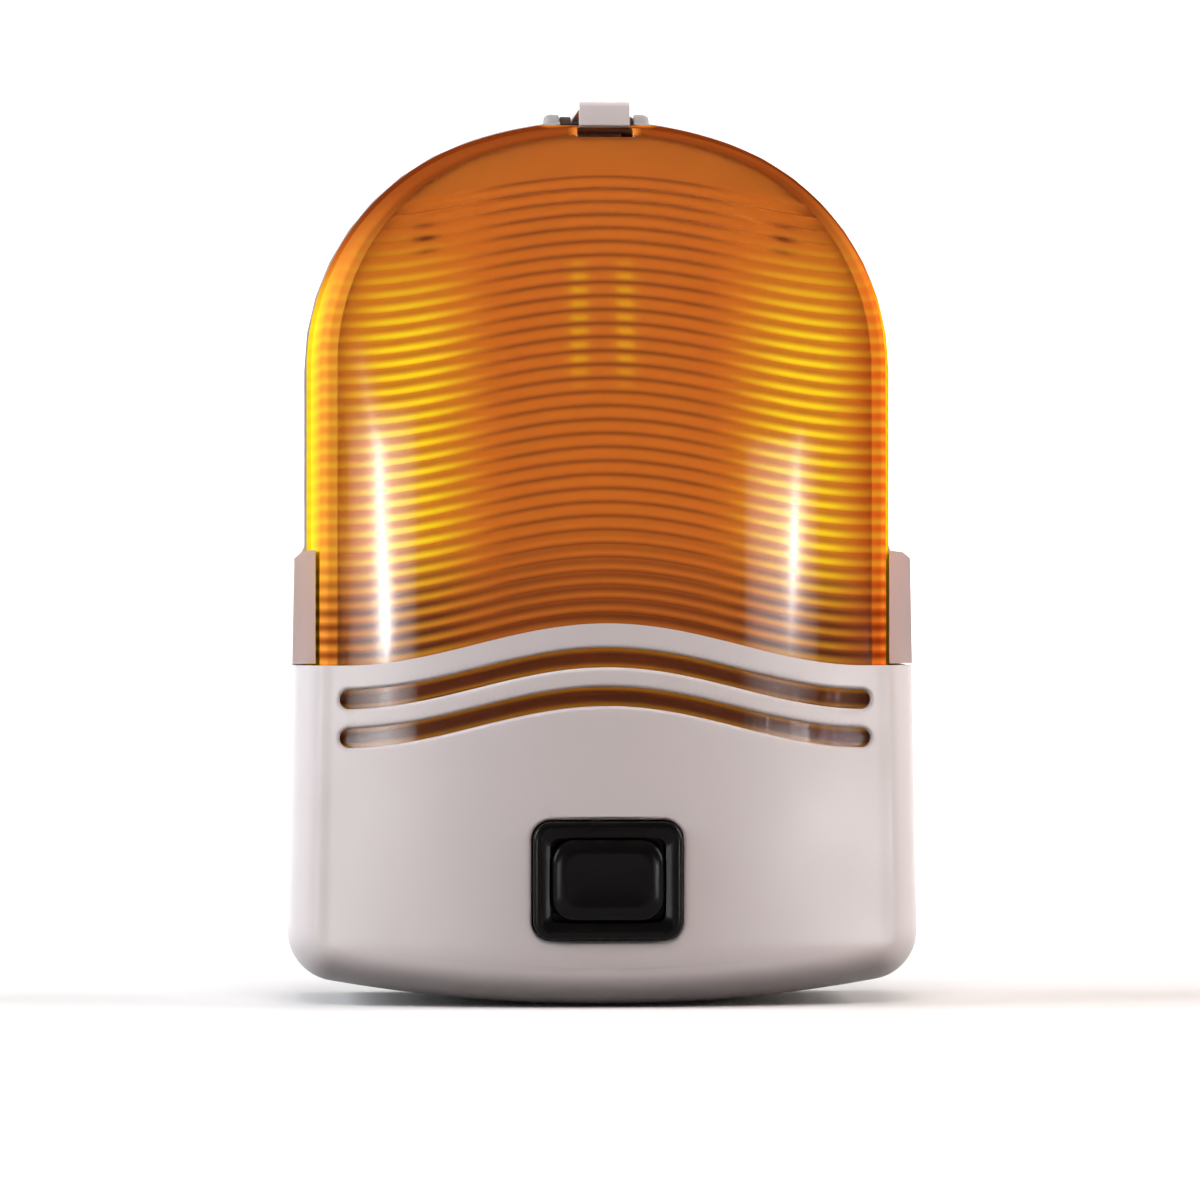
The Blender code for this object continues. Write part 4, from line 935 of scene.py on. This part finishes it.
def make_bulb():
    """Blown envelope: an outer wall and, inside it, the same curve drawn in by the glass thickness."""
    wall = 0.5

    def curve(inset):
        """Half outline of the envelope from its neck to its top, drawn in by an inset."""
        radius = BULB_RADIUS - inset
        top = [(radius * math.cos(a), BULB_TOP - BULB_RADIUS + radius * math.sin(a))
               for a in np.linspace(0.0, math.radians(88), 14)]
        return [(3.6 - inset, BULB_NECK), (4.4 - inset, BULB_NECK + 2.0), (radius, BULB_NECK + 6.0)] + top

    profile = curve(0.0)[::-1] + curve(wall)
    points, faces = ringed(turned(profile))
    settle(build("bulb_envelope", points, faces, [GLASS]), "housing", "clear_glass", "bulb_glass")
    lead = 1.6
    for name, side in (("lead_left", -1), ("lead_right", 1)):
        bends = ((0.8, 0.0), (lead, 8.0), (lead, 16.0))
        path = np.array([[side * x, -LAMP_DEPTH, BULB_NECK + rise] for x, rise in bends])
        settle(make_wire(name, path, 0.25), "housing", "steel")
    along = np.linspace(0.0, 1.0, 97)
    coil = np.stack([lead * (2 * along - 1), -LAMP_DEPTH + 0.35 * np.cos(along * 24 * np.pi),
                     BULB_NECK + 16.0 + 1.2 * np.sin(np.pi * along) + 0.35 * np.sin(along * 24 * np.pi)], -1)
    settle(make_wire("filament", coil, 0.09), "housing", "steel")


def make_wire(name, path, radius, sides=8):
    """Round wire: a circle carried along a path, square to its direction."""
    ahead = np.gradient(path, axis=0)
    ahead /= np.linalg.norm(ahead, axis=1, keepdims=True)
    side = np.cross(ahead, np.array([0.0, 1.0, 0.05]))
    side /= np.linalg.norm(side, axis=1, keepdims=True)
    over = np.cross(side, ahead)
    turn = np.linspace(0.0, 2 * np.pi, sides, endpoint=False)[None, :, None]
    circle = np.cos(turn) * side[:, None] + np.sin(turn) * over[:, None]
    points, faces = ringed(place(path[:, None] + radius * circle))
    return build(name, points, faces, [STEEL])


make_lens()
make_cover()
make_bezel()
make_button()
make_bulb()
make_hinge_trim()
dress("base", SHELL, "shell", 0.35)
dress("latch_clip", SHELL, "shell", 0.3)
dress("latch_pin", STEEL, "steel", 0.15)
dress("lamp_post", REFLECTOR, "reflector_white", 0.3)
dress("bulb_base", BRASS, "brass", 0.2)
dress("reflector", REFLECTOR, "reflector_white", 0.3)
dress("mounting_nut", STEEL, "steel", 0.4)
for number in range(1, 5):
    dress(f"cover_screw_{number}", STEEL, "steel", 0.2)
    dress(f"reflector_screw_{number}", STEEL, "steel", 0.2)
    dress(f"cell_{number}", JACKET, "cell_jacket", 0.3)
for number in range(1, 3):
    dress(f"board_screw_{number}", STEEL, "steel", 0.2)
paint(["switch_body"], BLACK)
paint(["flasher_chip", "drive_transistor"], CHIP)
paint(["timing_capacitor"], JACKET)
paint(["circuit_board"], BOARD)
paint(["battery_cradle"], CRADLE)
paint(["lens_gasket"], GASKET)
paint(["switch_spring"], STEEL)
paint(["switch_terminal_1", "switch_terminal_2"], BRASS)
paint(["contact_bottom_left", "contact_bottom_right"], BRASS)
paint(["contact_top_left", "contact_top_middle", "contact_top_right"], BRASS)


# Stage, light and camera
def stage_paper():
    """Pale paper: clear from behind, white far from the part, and dark to rays that bounce off the part."""
    black, white, bounce = (0.0, 0.0, 0.0), (1.0, 1.0, 1.0), (0.10, 0.09, 0.085)
    whitening = (0.5, 1.2)
    finish, tree, shader = shader_of("studio_paper", roughness=0.9)
    shader.inputs["Specular IOR Level"].default_value = 0.1
    shader.inputs["Emission Strength"].default_value = 1.0
    base = placed(tree, MOULDING, Mottle_Scale=3.0)
    seen = add_node(tree, "ShaderNodeLightPath")
    direct = add_node(tree, "ShaderNodeMath", operation='ADD')
    either = add_node(tree, "ShaderNodeMath", operation='ADD', use_clamp=True)
    tree.links.new(seen.outputs["Is Camera Ray"], direct.inputs[0])
    tree.links.new(seen.outputs["Is Glossy Ray"], direct.inputs[1])
    tree.links.new(direct.outputs[0], either.inputs[0])
    tree.links.new(seen.outputs["Is Transmission Ray"], either.inputs[1])
    paper = mixed(tree, base.outputs["Mottle"], (0.97, 0.97, 0.97), (0.95, 0.95, 0.95))
    colour = mixed(tree, either.outputs[0], bounce, paper)
    where = add_node(tree, "ShaderNodeTexCoord")
    away = add_node(tree, "ShaderNodeVectorMath", operation='LENGTH')
    tree.links.new(where.outputs["Object"], away.inputs[0])
    far = add_node(tree, "ShaderNodeMath", operation='MULTIPLY')
    tree.links.new(scaled(tree, away.outputs["Value"], 0.0, 1.0, *whitening), far.inputs[0])
    tree.links.new(either.outputs[0], far.inputs[1])
    tree.links.new(mixed(tree, far.outputs[0], colour, black), shader.inputs["Base Color"])
    tree.links.new(mixed(tree, far.outputs[0], black, white), shader.inputs["Emission Color"])
    facing = add_node(tree, "ShaderNodeNewGeometry")
    clear = add_node(tree, "ShaderNodeBsdfTransparent")
    open_back = add_node(tree, "ShaderNodeMixShader")
    tree.links.new(facing.outputs["Backfacing"], open_back.inputs["Fac"])
    tree.links.new(clear.outputs["BSDF"], open_back.inputs[1])
    tree.links.new(shader.outputs["BSDF"], open_back.inputs[2])
    tree.links.new(open_back.outputs["Shader"], tree.nodes["Material Output"].inputs["Surface"])
    return finish


def make_stage():
    """Floor that curves up into a backdrop behind the part, in metres."""
    width, front, back, tall, bend, under = 3.0, -2.2, 1.0, 2.4, 0.5, 0.0005
    turn = np.linspace(0.0, np.pi / 2, 12)
    y = np.concatenate([[front], back - bend + bend * np.sin(turn), [back]])
    z = np.concatenate([[0.0], bend * (1 - np.cos(turn)), [tall]]) + GROUND - under
    rows = np.stack([np.stack([np.full_like(y, x), y, z], -1) for x in (-width, width)], 1)
    faces = grid_quads(len(y), 2).tolist()
    build("studio_sweep", rows.reshape(-1, 3), faces, [stage_paper()])


def area_light(name, where, target, size, energy, colour=(1.0, 1.0, 1.0), spread=180.0):
    """Panel of light at a place in metres, aimed at a target."""
    lamp = bpy.data.lights.new(name, 'AREA')
    lamp.shape = 'RECTANGLE'
    lamp.size, lamp.size_y = size
    lamp.energy = energy
    lamp.color = colour
    lamp.spread = math.radians(spread)
    item = bpy.data.objects.new(name, lamp)
    bpy.context.scene.collection.objects.link(item)
    item.location = where
    aim = np.array(target) - np.array(where)
    yaw = math.atan2(-aim[0], aim[1])
    pitch = math.atan2(aim[2], math.hypot(aim[0], aim[1]))
    item.rotation_euler = (math.pi / 2 + pitch, 0.0, yaw)
    return item


def soft_strip(name, heights, turn, lean, wide, energy, sharpness):
    """Panel beside the camera, leaning by an angle, seen only as a reflection and fading towards its sides.

    heights lists (share of the panel's height, brightness) from its foot to its top.
    """
    away, tall = 0.95, 0.36
    angle = math.radians(turn)
    middle = GROUND + tall / 2
    spot = (away * math.sin(angle), -away * math.cos(angle), middle)
    strip = area_light(name, spot, (0.0, -0.04, middle), (wide, tall), energy)
    strip.rotation_euler[1] = math.radians(lean)
    strip.visible_diffuse = False
    strip.visible_transmission = False
    strip.data.use_nodes = True
    tree = strip.data.node_tree
    where = add_node(tree, "ShaderNodeNewGeometry")
    split = add_node(tree, "ShaderNodeSeparateXYZ")
    tree.links.new(where.outputs["Parametric"], split.inputs["Vector"])
    across = add_node(tree, "ShaderNodeMath", operation='PINGPONG')
    across.inputs[1].default_value = 0.5
    tree.links.new(split.outputs["X"], across.inputs[0])
    soft = add_node(tree, "ShaderNodeMath", operation='POWER')
    soft.inputs[1].default_value = sharpness
    tree.links.new(scaled(tree, across.outputs[0], 0.0, 1.0, 0.0, 0.5), soft.inputs[0])
    fade = add_node(tree, "ShaderNodeValToRGB")
    stops = fade.color_ramp.elements
    while len(stops) < len(heights):
        stops.new(0.5)
    for stop, (share, level) in zip(stops, heights):
        stop.position = share
        stop.color = (level, level, level, 1.0)
    tree.links.new(split.outputs["Y"], fade.inputs["Fac"])
    both = add_node(tree, "ShaderNodeMath", operation='MULTIPLY')
    tree.links.new(soft.outputs[0], both.inputs[0])
    tree.links.new(fade.outputs["Color"], both.inputs[1])
    tree.links.new(both.outputs[0], tree.nodes["Emission"].inputs["Strength"])


def make_light():
    """Even air, two side panels, one in front and above, one on the backdrop, and strips to be reflected."""
    world = bpy.data.worlds.new("studio_air")
    world.use_nodes = True
    bpy.context.scene.world = world
    back = world.node_tree.nodes["Background"]
    back.inputs["Color"].default_value = (0.97, 0.97, 1.0, 1.0)
    seen = add_node(world.node_tree, "ShaderNodeLightPath")
    level = scaled(world.node_tree, seen.outputs["Is Camera Ray"], 0.14, 1.0)
    world.node_tree.links.new(level, back.inputs["Strength"])
    part, high = (0.0, 0.0, 0.0), 0.55
    area_light("key_panel", (-1.45, -0.18, high), part, (0.9, 0.9), 27.0, (0.92, 0.96, 1.0))
    area_light("side_panel", (1.45, -0.18, high), part, (0.9, 0.9), 23.0, (1.0, 0.93, 0.88))
    top = area_light("top_panel", (0.0, -1.55, 1.25), part, (1.2, 0.8), 17.5, (1.0, 0.88, 0.84))
    sweep = area_light("sweep_panel", (0.0, 0.6, 1.9), (0.0, 1.2, 0.3), (2.4, 0.6), 44.0, spread=70.0)
    for panel in (top, sweep):
        panel.visible_glossy = False
    streak_left = ((0.10, 0.0), (0.17, 0.2), (0.20, 1.0), (0.30, 0.7), (0.50, 0.1), (0.95, 0.0))
    streak_right = ((0.17, 0.0), (0.22, 0.4), (0.29, 1.0), (0.38, 0.2), (0.5, 0.0))
    soft_strip("streak_left", streak_left, turn=-27.1, lean=-14.0, wide=0.18, energy=9.0, sharpness=8.0)
    soft_strip("streak_right", streak_right, turn=28.3, lean=14.0, wide=0.18, energy=6.5, sharpness=8.0)
    haze_left = ((0.0, 1.0), (0.08, 1.0), (0.12, 0.4), (0.30, 0.42), (0.42, 0.30), (0.62, 0.0))
    haze_right = ((0.0, 1.0), (0.08, 1.0), (0.12, 0.05), (0.20, 0.3), (0.32, 0.35), (0.45, 0.0))
    soft_strip("haze_left", haze_left, turn=-25.9, lean=0.0, wide=0.145, energy=2.7, sharpness=0.6)
    soft_strip("haze_right", haze_right, turn=25.5, lean=0.0, wide=0.16, energy=3.0, sharpness=0.6)
    low_band = ((0.0, 1.0), (0.07, 1.0), (0.09, 0.0))
    soft_strip("low_left", low_band, turn=-38.0, lean=0.0, wide=0.34, energy=28.0, sharpness=0.6)
    soft_strip("low_right", low_band, turn=37.0, lean=0.0, wide=0.34, energy=34.0, sharpness=0.6)


def make_camera():
    """Camera at the photograph's angle, whose frame gives the photograph's scale."""
    camera = bpy.data.objects.new("photo_view", bpy.data.cameras.new("photo_view"))
    bpy.context.scene.collection.objects.link(camera)
    centre = place(VIEW_CENTRE)
    reach = VIEW_DISTANCE * MM
    camera.location = centre + reach * np.array([math.sin(VIEW_AZIMUTH), -math.cos(VIEW_AZIMUTH), 0.0])
    camera.rotation_euler = (math.pi / 2, 0.0, VIEW_AZIMUTH)
    camera.data.sensor_width = 36.0
    camera.data.lens = camera.data.sensor_width * VIEW_DISTANCE / (PIXEL * PHOTO_WIDTH)
    bpy.context.scene.camera = camera


make_stage()
make_light()
make_camera()
bpy.context.scene.view_settings.view_transform = 'Standard'
